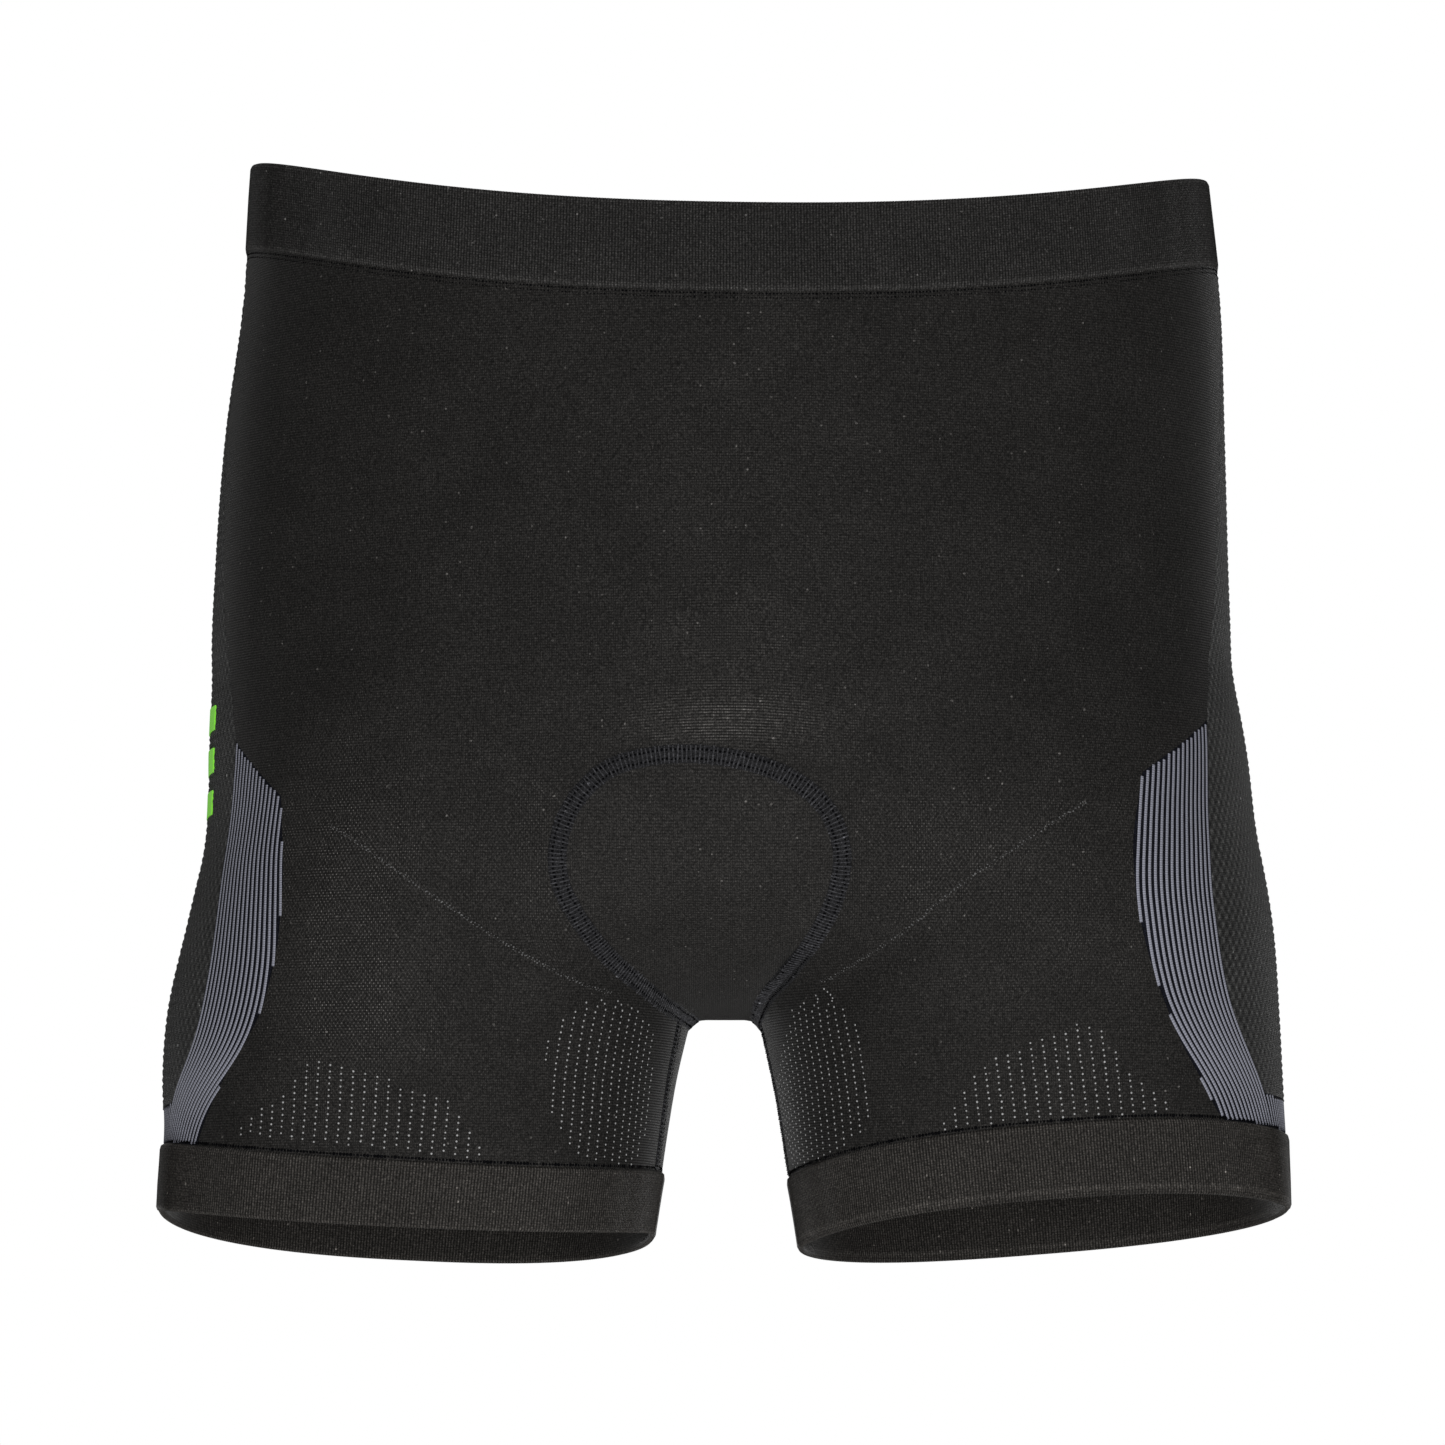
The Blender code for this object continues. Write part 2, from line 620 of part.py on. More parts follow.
def half_seams(side):
    """The seams of one half, each a row of vertices that both of its neighbours share."""
    seams = {}
    corners = seen(*CRESCENT_TOP[side])
    top = settle(corners[:1] + (corners[1:] - corners[:1]) * np.array([[0.0], [0.5], [1.0]]))
    inner_seen = seen(*CRESCENT_INNER[side])
    foot_line = line_of(inner_seen[-1:], side)[0] + FOOT_SHIFT
    foot = on_form(side, [foot_line], cuff_height(side, np.array([foot_line])))
    inner = curve(np.vstack([top[-1:], inner_seen[1:], foot]), RIB_STEP)
    outer = curve(np.vstack([top[:1], seen(*CRESCENT_OUTER[side])[1:]]), RIB_STEP, count=len(inner) - 1)
    turn_line = line_of(outer[-1:], side)[0]
    strip_line = np.linspace(turn_line, MESH_BACK_LINE, STRIP_GUIDES)[1:]
    strip_top = on_form(side, strip_line, cuff_height(side, strip_line) + STRIP_DEEP)
    strip_top = curve(np.vstack([outer[-1:], strip_top]), CLOTH_STEP)
    seams["crescent_top"], seams["crescent_inner"], seams["crescent_outer"] = top, inner, outer
    seams["crescent_foot"] = curve(np.vstack([inner[-1:], outer[-1:]]), CLOTH_STEP, count=1)
    seams["strip_top"] = strip_top
    share = np.linspace(foot_line, MESH_BACK_LINE, len(strip_top))
    seams["strip_low"] = on_form(side, share, cuff_height(side, share))
    seams["strip_end"] = np.vstack([strip_top[-1:], seams["strip_low"][-1:]])

    front_line = MESH_FRONT[side][0][0]
    seams["band_front"] = band_seam(side, -1, front_line, CLOTH_STEP)
    seams["band_side"] = band_seam(side, front_line, MESH_BACK_LINE, CLOTH_STEP)
    seams["band_back"] = band_seam(side, MESH_BACK_LINE, 1, CLOTH_STEP)
    seams["mesh_front"] = curve(np.vstack([seams["band_front"][-1:]] + [
        on_form(side, [line], [z]) for line, z in MESH_FRONT[side][1:]] + [top[:1]]), CLOTH_STEP)
    seams["mesh_back"] = curve(np.vstack([seams["band_side"][-1:], on_form(side, MESH_BACK_LINE, MESH_BACK_HEIGHTS),
                                          strip_top[-1:]]), CLOTH_STEP)

    inseam = INSEAM_LINE[side]
    under = -1 if side == "right" else 1
    front_corner = nearest(GUSSET_OUTER, on_form(side, [inseam + INSEAM_HALF], [FORK - 3]))
    back_corner = (front_corner + under) % len(GUSSET_OUTER)
    down = FORK - np.array(INSEAM_DROPS)
    for name, line, corner in (("inseam_front", inseam + INSEAM_HALF - 2, front_corner),
                               ("inseam_back", inseam - INSEAM_HALF, back_corner)):
        end = cuff_seam(side, line, line, CLOTH_STEP)[:1]
        seams[name] = curve(np.vstack([GUSSET_OUTER[corner][None], on_form(side, line, down), end]), CLOTH_STEP,
                            count=INSEAM_SPANS)
    seams["cuff_thigh"] = cuff_seam(side, inseam + INSEAM_HALF - 2, foot_line, CLOTH_STEP)
    seams["cuff_back"] = cuff_seam(side, MESH_BACK_LINE, inseam - INSEAM_HALF, CLOTH_STEP)
    diagonal_corner = nearest(GUSSET_OUTER, seen(DIAGONAL_END[side]))
    seams["diagonal"] = curve(np.vstack([top[-1:], seen(*DIAGONAL[side])[1:],
                                         GUSSET_OUTER[diagonal_corner][None]]), CLOTH_STEP)
    seams["gusset_side"] = stretch(diagonal_corner, front_corner, under)
    seams["corners"] = diagonal_corner, front_corner, back_corner
    return seams


SEAMS = {side: half_seams(side) for side in SIDE}
RIGHT, LEFT = SEAMS["right"], SEAMS["left"]


def back(seam):
    return seam[::-1]


def build_front():
    over_the_top = stretch(LEFT["corners"][0], RIGHT["corners"][0], -1)
    outline = chain(LEFT["band_front"], LEFT["mesh_front"], LEFT["crescent_top"], LEFT["diagonal"], over_the_top,
                    back(RIGHT["diagonal"]), back(RIGHT["crescent_top"]), back(RIGHT["mesh_front"]),
                    back(RIGHT["band_front"]))
    panel("front_panel", outline, whole_front(), CLOTH_STEP, JERSEY)


def build_back():
    over_the_seat = stretch(LEFT["corners"][2], RIGHT["corners"][2], 1)
    outline = chain(back(LEFT["band_back"]), LEFT["mesh_back"], LEFT["strip_end"], LEFT["cuff_back"],
                    back(LEFT["inseam_back"]), over_the_seat, RIGHT["inseam_back"], back(RIGHT["cuff_back"]),
                    back(RIGHT["strip_end"]), back(RIGHT["mesh_back"]), RIGHT["band_back"])
    panel("back_panel", outline, whole_back(), CLOTH_STEP, JERSEY)


def build_half(side):
    seams = SEAMS[side]
    flat_and_form = one_half(side)
    thigh = chain(seams["diagonal"], seams["gusset_side"], seams["inseam_front"], seams["cuff_thigh"],
                  back(seams["crescent_inner"]))
    panel("thigh_front_" + side, thigh, flat_and_form, CLOTH_STEP, JERSEY)
    mesh_side = chain(seams["band_side"], seams["mesh_back"], back(seams["strip_top"]),
                      back(seams["crescent_outer"]), back(seams["mesh_front"]))
    panel("side_mesh_" + side, mesh_side, flat_and_form, CLOTH_STEP, MESH_KNIT)
    ribs = np.arange(2 * RIBS + 1)
    loft("rib_panel_" + side, seams["crescent_inner"], seams["crescent_outer"], ribs / ribs[-1], RIB,
         raised=RIB_RAISED * (ribs % 2))
    loft("hem_strip_" + side, seams["strip_low"], seams["strip_top"], (0, 0.5, 1), RIB, raised=(0, 0.2, 0))
    loft("inseam_" + side, seams["inseam_front"], seams["inseam_back"], (0, 0.5, 1), THREAD,
         raised=(0.1, SEAM_RAISED, 0.1))


def build_gusset():
    panel("gusset", GUSSET_INNER, (gusset_flat, gusset_form), GUSSET_FILL, JERSEY)
    loft("gusset_seam", GUSSET_OUTER, GUSSET_INNER, (0, 0.5, 1), THREAD, raised=(0.1, SEAM_RAISED, 0.1), closed=True)


def build_waistband():
    low, top = [], []
    for side, way in (("right", 1), ("left", -1)):
        seams = SEAMS[side]
        half = np.vstack([seams["band_front"], seams["band_side"][1:], seams["band_back"][1:]])
        line = line_of(half, side)
        line[[0, -1]] = -1, 1
        cut = slice(None) if side == "right" else slice(1, -1)
        low.append(half[::way][cut])
        top.append(on_form(side, line, waist_height(side, line))[::way][cut])
    loft("waistband", np.vstack(low), np.vstack(top), (0, 0.3, 0.7, 0.95, 1), RIB_BAND,
         raised=BAND_RAISED * np.array((0.5, 1, 1, 0.8, 0)), depth=(FOLDED - BAND_RAISED) * np.array((1, 1, 1, 1, 0.6)),
         closed=True)


def build_cuff(side):
    seams = SEAMS[side]
    top = np.vstack([seams["cuff_thigh"], seams["strip_low"][1:], seams["cuff_back"][1:]])
    line = line_of(top, side)
    hem = on_form(side, line, cuff_height(side, line, hem=True))
    loft("cuff_" + side, top, hem, (0, 0.5, 0.94, 1), RIB_BAND, raised=CUFF_RAISED * np.array((0.6, 1, 0.9, 0.1)),
         depth=(FOLDED - CUFF_RAISED) * np.array((1, 1, 1, 0.6)), closed=True)


def main():
    for old in list(bpy.data.objects):
        bpy.data.objects.remove(old, do_unlink=True)
    build_waistband()
    build_front()
    build_back()
    build_gusset()
    for side in SIDE:
        build_half(side)
        build_cuff(side)


main()
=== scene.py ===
import math
import bpy
import numpy as np
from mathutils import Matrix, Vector
from mathutils.geometry import delaunay_2d_cdt


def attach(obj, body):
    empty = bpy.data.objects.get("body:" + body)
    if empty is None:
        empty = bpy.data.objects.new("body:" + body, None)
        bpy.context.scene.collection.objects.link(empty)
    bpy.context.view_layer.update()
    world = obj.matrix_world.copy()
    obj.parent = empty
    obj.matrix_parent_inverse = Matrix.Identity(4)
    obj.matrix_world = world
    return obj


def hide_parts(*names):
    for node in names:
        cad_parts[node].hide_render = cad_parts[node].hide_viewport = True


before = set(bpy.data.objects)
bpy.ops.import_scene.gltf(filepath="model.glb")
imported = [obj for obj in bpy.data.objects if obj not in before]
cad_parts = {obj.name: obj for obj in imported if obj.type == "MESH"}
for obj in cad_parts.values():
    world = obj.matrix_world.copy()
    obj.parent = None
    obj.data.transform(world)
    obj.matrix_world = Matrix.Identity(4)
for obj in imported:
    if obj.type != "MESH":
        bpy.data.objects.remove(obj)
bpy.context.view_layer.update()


# Front panel
# One flat piece of plain black jersey, knitted to shape, from the waistband down to the thin slanting line
# over each thigh. It is stretched over the filled-out form, so the form and the seams that it shares with
# its neighbours are set out here. Sizes are in millimetres, and each mesh is made in metres.
MM = 0.001
CLOTH = 1.2
STRETCH = 1.12
SIDE = {"right": -1, "left": 1}
TORSO = (
    # z, edge at -X, edge at +X, front, back, square
    (-200, -165, 166, -110, 128, 2.3),
    (-168, -169, 167, -112, 127, 2.3),
    (-128, -168, 166, -112, 122, 2.3),
    (-88, -165, 165, -109, 115, 2.3),
    (-42, -159, 163.5, -106, 109, 2.3),
    (0, -156.5, 159, -103, 105, 2.3),
    (20, -154, 156, -102, 104, 2.3),
)
BOWL_TOP = -190
BOWL_DEEP = 89
BOWL_ROUND = 2.3
LEG = {
    "right": (
        # z, inner edge, outer edge, front, back, square
        (-385, 30, 184.5, -80, 85, 2.5),
        (-335, 21.5, 185.1, -81, 88, 2.5),
        (-316, 18.7, 184, -82.5, 90.5, 2.4),
        (-300, 16, 184.6, -84, 93, 2.3),
        (-280, 11.5, 183.5, -87, 98, 2.2),
        (-247, 6, 176.5, -94, 108, 2.2),
        (-215, 3, 169, -97, 113, 2.2),
        (-180, 8, 161, -90, 104, 2.2),
        (-130, 20, 126, -68, 78, 2.2),
        (-80, 30, 105, -40, 50, 2.2),
    ),
    "left": (
        (-385, 30, 183.5, -80, 85, 2.5),
        (-333, 21.5, 184.5, -81, 88, 2.5),
        (-300, 16, 183.1, -84, 93, 2.3),
        (-280, 11.5, 182.3, -87, 98, 2.2),
        (-247, 6, 180, -94, 108, 2.2),
        (-215, 3, 174, -97, 113, 2.2),
        (-180, 8, 164, -90, 104, 2.2),
        (-130, 20, 126, -68, 78, 2.2),
        (-80, 30, 105, -40, 50, 2.2),
    ),
}
BLEND = 18
FORK_BLEND = 5
FORK_TURN = (-250, -268)
FORK_WIDE = (25, 55)
AXIS_Y = 8
AXIS_X_BY_HEIGHT = ((-330, -280, -150, 0), (104, 98, 78, 75))
VIEW_REACH = 3000
VIEW_RISE = math.radians(5)
VIEW_AIM = np.array((-0.8, 0, -181.7))
VIEW_WAY = np.array((0, math.cos(VIEW_RISE), math.sin(VIEW_RISE)))
VIEW_UP = np.array((0, -math.sin(VIEW_RISE), math.cos(VIEW_RISE)))
EYE = VIEW_AIM - VIEW_REACH * VIEW_WAY
SLOPE_REACH = 0.4
HALVINGS = 30


def unit(ways):
    return ways / np.linalg.norm(ways, axis=-1, keepdims=True)


def run_along(points):
    """The length from a row's first point to each of its points."""
    return np.concatenate([[0], np.cumsum(np.linalg.norm(np.diff(points, axis=0), axis=1))])


def smooth_rows(table, at):
    """Read a table's columns at the given heights, on a smooth curve through its rows."""
    table = np.asarray(table, float)
    keys, values = table[:, 0], table[:, 1:]
    slopes = np.gradient(values, keys, axis=0)
    at = np.clip(at, keys[0], keys[-1])
    row = np.clip(np.searchsorted(keys, at) - 1, 0, len(keys) - 2)
    step = keys[row + 1] - keys[row]
    t = ((at - keys[row]) / step)[..., None]
    step = step[..., None]
    rise = slopes[row] * step
    fall = slopes[row + 1] * step
    start_part = values[row] * (2 * t ** 3 - 3 * t ** 2 + 1) + rise * (t ** 3 - 2 * t ** 2 + t)
    end_part = values[row + 1] * (3 * t ** 2 - 2 * t ** 3) + fall * (t ** 3 - t ** 2)
    return np.moveaxis(start_part + end_part, -1, 0)


def section_gap(x, y, section, dz=0.0, sink=0.0):
    """Distance outside a rounded section, negative inside it; sink closes it downwards."""
    low, high, front, back, square = section
    dx, dy = x - (low + high) / 2, y - (front + back) / 2
    half_w, half_d = (high - low) / 2, (back - front) / 2
    ratio = (np.abs(dx / half_w) ** square + np.abs(dy / half_d) ** square) ** (1 / square)
    ratio = np.maximum((ratio ** BOWL_ROUND + sink ** BOWL_ROUND) ** (1 / BOWL_ROUND), 1e-6)
    return np.sqrt(dx * dx + dy * dy + dz * dz) * (1 - 1 / ratio)


def blend_at(x, z):
    """How widely the legs and the torso run into each other: less where the seams meet at the fork."""
    low = np.clip((FORK_TURN[0] - z) / (FORK_TURN[0] - FORK_TURN[1]), 0, 1)
    middle = np.clip((FORK_WIDE[1] - np.abs(x)) / (FORK_WIDE[1] - FORK_WIDE[0]), 0, 1)
    share = low * low * (3 - 2 * low) * middle * middle * (3 - 2 * middle)
    return BLEND - (BLEND - FORK_BLEND) * share


def form_gap(points):
    """Distance of points outside the filled-out garment, negative inside it."""
    x, y, z = np.moveaxis(np.asarray(points, float), -1, 0)
    below = np.maximum(BOWL_TOP - z, 0)
    gap = section_gap(x, y, smooth_rows(TORSO, z), below, below / BOWL_DEEP)
    blend = blend_at(x, z)
    for side, way in SIDE.items():
        leg = section_gap(way * x, y, smooth_rows(LEG[side], z))
        near = np.maximum(blend - np.abs(gap - leg), 0) / blend
        gap = np.minimum(gap, leg) - near * near * blend / 4
    return gap


def form_slope(points):
    points = np.asarray(points, float)
    return np.stack([(form_gap(points + step) - form_gap(points - step)) / (2 * SLOPE_REACH)
                     for step in np.eye(3) * SLOPE_REACH], axis=-1)


def form_normal(points):
    return unit(form_slope(points))


def settle(points):
    """Bring points that lie close to the form onto it."""
    points = np.array(points, float)
    for _ in range(3):
        slope = form_slope(points)
        points -= slope * (form_gap(points) / (slope ** 2).sum(-1))[..., None]
    return points


def edge_between(point_at, inside, outside):
    """Halve the stretch from inside to outside until it pins the form's edge."""
    inside, outside = np.array(inside, float), np.array(outside, float)
    for _ in range(HALVINGS):
        middle = (inside + outside) / 2
        within = form_gap(point_at(middle)) < 0
        inside = np.where(within, middle, inside)
        outside = np.where(within, outside, middle)
    return (inside + outside) / 2


def centre_edge(heights, reach):
    return edge_between(lambda y: np.stack([0 * y, y, heights], -1), np.full_like(heights, AXIS_Y),
                        np.full_like(heights, reach))


LEVELS = np.unique(np.concatenate([np.arange(-384, 15, 2), np.arange(-300, -262, 0.5)]).astype(float))
LINES = np.linspace(-1, 1, 181)
RAYS_A_HALF = 100
IN_BODY = form_gap(np.stack([0 * LEVELS, 0 * LEVELS + AXIS_Y, LEVELS], -1)) < 0
FORK = LEVELS[IN_BODY].min()


def half_sections(side):
    """Level sections of one half, at even steps along their length.

    A line's number runs from -1, at the front centre or the inseam, through 0 at the side, to 1 at the back.
    """
    axis = np.interp(LEVELS, *AXIS_X_BY_HEIGHT)
    front = np.where(IN_BODY, np.arctan2(centre_edge(LEVELS, -180) - AXIS_Y, -axis), -math.pi)
    back = np.where(IN_BODY, np.arctan2(centre_edge(LEVELS, 190) - AXIS_Y, -axis), math.pi)
    share = np.linspace(0, 1, RAYS_A_HALF + 1)
    turn = np.concatenate([front[:, None] * (1 - share), back[:, None] * share[1:]], axis=1)
    out, along = np.cos(turn), np.sin(turn)

    def at(reach):
        return np.stack([SIDE[side] * (axis[:, None] + reach * out), AXIS_Y + reach * along,
                         LEVELS[:, None] + 0 * reach], -1)

    to_middle = np.where(out < -1e-9, axis[:, None] / np.maximum(-out, 1e-9), 400)
    places = at(edge_between(at, np.zeros_like(turn), np.minimum(to_middle, 300)))
    steps = np.linalg.norm(np.diff(places, axis=1), axis=-1)
    run = np.concatenate([np.zeros((len(LEVELS), 1)), np.cumsum(steps, axis=1)], axis=1)
    side_run = run[:, RAYS_A_HALF:RAYS_A_HALF + 1]
    number = np.where(run < side_run, run / side_run - 1, (run - side_run) / (run[:, -1:] - side_run))
    even = [[np.interp(LINES, number[i], part[i]) for part in (*np.moveaxis(places, -1, 0), turn)]
            for i in range(len(LEVELS))]
    return np.moveaxis(np.array(even), 1, -1)


GRID = {side: half_sections(side) for side in SIDE}
RUNS = {side: np.linalg.norm(np.diff(grid[..., :3], axis=1), axis=-1).reshape(len(LEVELS), 2, -1).sum(-1)
        for side, grid in GRID.items()}


def grid_rows(z):
    low = np.clip(np.searchsorted(LEVELS, z) - 1, 0, len(LEVELS) - 2)
    return low, np.clip((z - LEVELS[low]) / (LEVELS[low + 1] - LEVELS[low]), 0, 1)


def at_level(rows, z):
    """Read rows that are kept for each level at the given heights."""
    low, share = grid_rows(z)
    return rows[low] * (1 - share)[:, None] + rows[low + 1] * share[:, None]


def on_form(side, line, z):
    """Points of the form on a half's numbered lines at the given heights."""
    line, z = np.broadcast_arrays(np.asarray(line, float), np.asarray(z, float))
    line = np.where(np.abs(line) > 1, (line + 1) % 2 - 1, line)
    low, share = grid_rows(z)
    place = (line + 1) / 2 * (len(LINES) - 1)
    left = np.clip(np.floor(place).astype(int), 0, len(LINES) - 2)
    across = (place - left)[..., None]
    grid = GRID[side]
    lower = grid[low, left] * (1 - across) + grid[low, left + 1] * across
    upper = grid[low + 1, left] * (1 - across) + grid[low + 1, left + 1] * across
    return settle((lower + (upper - lower) * share[..., None])[..., :3])


def line_of(points, side):
    """The line numbers of points on one half of the form."""
    axis = np.interp(points[:, 2], *AXIS_X_BY_HEIGHT)
    turn = np.arctan2(points[:, 1] - AXIS_Y, SIDE[side] * points[:, 0] - axis)
    turns = at_level(GRID[side][..., 3], points[:, 2])
    return np.array([np.interp(t, row, LINES) for t, row in zip(turn, turns)])


def cloth_run(side, line, z):
    """How many millimetres of cloth one line number spans, in front of the side and behind it."""
    front, back = at_level(RUNS[side], z).T
    return np.where(line < 0, front, back)


def seen(*rows):
    """Points of the form behind places (across, up) in the front elevation."""
    across, up = np.array(rows, float).T
    target = (VIEW_AIM + (across - VIEW_AIM[0])[:, None] * np.array((1, 0, 0))
              + (up - VIEW_AIM[2])[:, None] * VIEW_UP)
    way = unit(target - EYE)
    reach = np.linspace(VIEW_REACH - 180, VIEW_REACH + 60, 161)
    gap = form_gap(EYE + reach[None, :, None] * way[:, None, :])
    hit = (gap < 0).any(axis=1)
    first = np.where(hit, np.argmax(gap < 0, axis=1), np.argmin(gap, axis=1))
    found = edge_between(lambda r: EYE + r[:, None] * way, reach[first], reach[first - 1])
    return settle(EYE + np.where(hit, found, reach[first])[:, None] * way)


def curve(points, spacing=None, closed=False, count=None):
    """A smooth curve on the form through points, with vertices at even steps."""
    points = np.asarray(points, float)
    ring = np.vstack([points[-1:], points, points[:2]]) if closed else np.vstack(
        [2 * points[:1] - points[1:2], points, 2 * points[-1:] - points[-2:-1]])
    fine = []
    for a, b, c, d in zip(ring, ring[1:], ring[2:], ring[3:]):
        t = np.linspace(0, 1, 12, endpoint=False)[:, None]
        fine.append(b + 0.5 * t * (c - a + t * (2 * a - 5 * b + 4 * c - d + t * (3 * (b - c) + d - a))))
    fine = np.vstack(fine + [ring[-2:-1] if closed else points[-1:]])
    run = run_along(fine)
    count = count or max(1, round(run[-1] / spacing))
    even = np.linspace(0, run[-1], count + 1)
    found = settle(np.stack([np.interp(even, run, part) for part in fine.T], -1))
    return found[:-1] if closed else found


def nearest(points, place):
    return int(np.argmin(np.linalg.norm(points - place, axis=1)))


HUB_Y = AXIS_Y
HUB_Z = -200
HUB_REACH = 90


def swing(across, turn):
    """Points of the form across by x and swung by degrees: 0 ahead, 90 straight down, 180 behind."""
    across, turn = np.broadcast_arrays(np.asarray(across, float), np.radians(turn))

    def at(reach):
        return np.stack([across, HUB_Y - reach * np.cos(turn), HUB_Z - reach * np.sin(turn)], -1)
    return at(edge_between(at, np.zeros(across.shape), np.full(across.shape, 170.0)))


BAND_DEEP = 29
WAIST_LEVEL = -0.5
WAIST_TILT = -0.017
WAIST_DIP = 23.8
WAIST_FRONT = 105


def waist_height(side, line):
    """Height of the waist's top edge on a numbered line."""
    level = on_form(side, line, np.zeros_like(line))
    dip = (np.maximum(-level[:, 1], 0) / WAIST_FRONT) ** 2
    return WAIST_LEVEL + WAIST_TILT * level[:, 0] - WAIST_DIP * dip


def band_height(side, line):
    """Height of the waistband's lower edge on a numbered line."""
    return waist_height(side, line) - BAND_DEEP


CUFF = {
    # outer top, inner top, outer hem, inner hem, front, back
    "right": (-321, -330, -343, -350.5, -4, -9.3),
    "left": (-318, -331.5, -342.5, -355, 7.5, -5.6),
}
CUFF_LEVEL = -330
LEG_HALF_DEEP = 84
# The cloth that one line number spans, on the body and on a leg.
WIDE = 225
LEG_WIDE = 250
CLOTH_STEP = 3


def cuff_height(side, line, hem=False):
    """Height of a cuff's top line, or of its hem, on a numbered line of the leg."""
    outer, inner = CUFF[side][2:4] if hem else CUFF[side][:2]
    fore, aft = CUFF[side][4:]
    x, y, _ = on_form(side, line, CUFF_LEVEL + 0 * np.asarray(line, float)).T
    inner_x, outer_x = np.sort(np.abs(on_form(side, (0, 1), CUFF_LEVEL)[:, 0]))
    share = (outer_x - np.abs(x)) / (outer_x - inner_x)
    share_back = np.abs(y) / LEG_HALF_DEEP
    lean = np.where(y < 0, fore * share_back ** 2, aft * share_back ** 1.2)
    return outer + (inner - outer) * share + lean


def band_seam(side, start, end, height_at=band_height, wide=WIDE):
    """The seam of a band from one line number to another."""
    line = np.linspace(start, end, max(2, round(abs(end - start) * wide / CLOTH_STEP) + 1))
    return on_form(side, line, height_at(side, line))


def cuff_seam(side, start, end):
    return band_seam(side, start, end, cuff_height, LEG_WIDE)


# The seams that show, as places across and up in the front elevation.
CRESCENT_TOP = {"right": ((-161.4, -187.8), (-146.5, -206)), "left": ((159.1, -180.8), (138, -198))}
CRESCENT_INNER = {
    # below the top's inner corner
    "right": ((-146.2, -215), (-145.8, -231), (-147.3, -252), (-151, -270),
              (-154.5, -280), (-159.5, -289), (-166.5, -301.5), (-171.5, -313)),
    "left": ((135.3, -215), (134.8, -226), (136.2, -242), (139.8, -258),
             (145, -273.5), (151, -288), (157, -299), (162, -309)),
}
CRESCENT_OUTER = {
    "right": ((-161.4, -187.8), (-162.7, -207.5), (-164.7, -223), (-167.3, -241.5), (-169.8, -260),
              (-172.6, -275), (-175.2, -286), (-179.5, -298), (-182.5, -307)),
    "left": ((159.1, -180.8), (159.6, -201.5), (160.1, -220.5), (161, -237), (162.9, -252),
             (165.2, -266), (168.8, -279.5), (174.3, -293.5), (178.3, -304)),
}
DIAGONAL = {
    # inward from the same corner
    "right": ((-125, -219), (-101.3, -235.5), (-81, -249), (-66.5, -258), (-45.5, -268.5)),
    "left": ((117.2, -209), (96.7, -222.4), (77.6, -235.3), (60, -250), (40.3, -262.7),
             (31, -267.5)),
}
DIAGONAL_END = {"right": (-26, -274), "left": (21, -271)}
GUSSET_SEEN = (
    (-20.5, -277.5), (-40.6, -261), (-54, -243), (-58.4, -229), (-56.4, -214.5), (-49, -202), (-36, -192.5),
    (-13.5, -188.8), (10, -192), (27, -199.7), (37.6, -210.8), (41.8, -225), (39.4, -240), (32.6, -253.5),
    (23, -266.5), (15.5, -274.5),
)
# Under the crotch and on the seat, the gusset's half width at degrees of swing about the hub.
GUSSET_UNDER = ((12, 86), (12.5, 98), (18, 110), (27, 125), (35, 141), (38, 157), (32, 173), (18, 184))
GUSSET_BACK_TOP = 187
GUSSET_STEP = 2.5
SEAM_WIDE = 6
# Line numbers and heights of the side mesh's front edge, from the waistband down.
MESH_FRONT = {"right": ((-0.06, None), (-0.1, -75), (-0.14, -117), (-0.178, -155)),
              "left": ((-0.08, None), (-0.121, -71), (-0.172, -125), (-0.203, -155))}
MESH_BACK_LINE = 0.42
MESH_BACK_HEIGHTS = (-100, -200, -270)
FOOT_SHIFT = 0.012
STRIP_DEEP = 11
INSEAM_LINE = {"right": 1.105, "left": 1.04}
INSEAM_HALF = 0.0105
INSEAM_DROPS = (20, 34)
CORNER_DROP = 3
INSEAM_PARTS = 24
RIB_ROW = 2


def gusset_rails():
    """The outer and inner edge of the seam round the gusset, as closed rings of matching vertices."""
    half, turn = np.array(GUSSET_UNDER).T
    outer = curve(np.vstack([seen(*GUSSET_SEEN), swing(half, turn), swing([0.0], [GUSSET_BACK_TOP]),
                             swing(-half[::-1], turn[::-1])]), GUSSET_STEP, closed=True)
    way = np.roll(outer, -1, axis=0) - np.roll(outer, 1, axis=0)
    inward = unit(np.cross(form_normal(outer), way))
    if ((outer.mean(0) - outer) * inward).sum() < 0:
        inward = -inward
    return outer, settle(settle(outer + inward * SEAM_WIDE / 2) + inward * SEAM_WIDE / 2)


GUSSET_OUTER, GUSSET_INNER = gusset_rails()


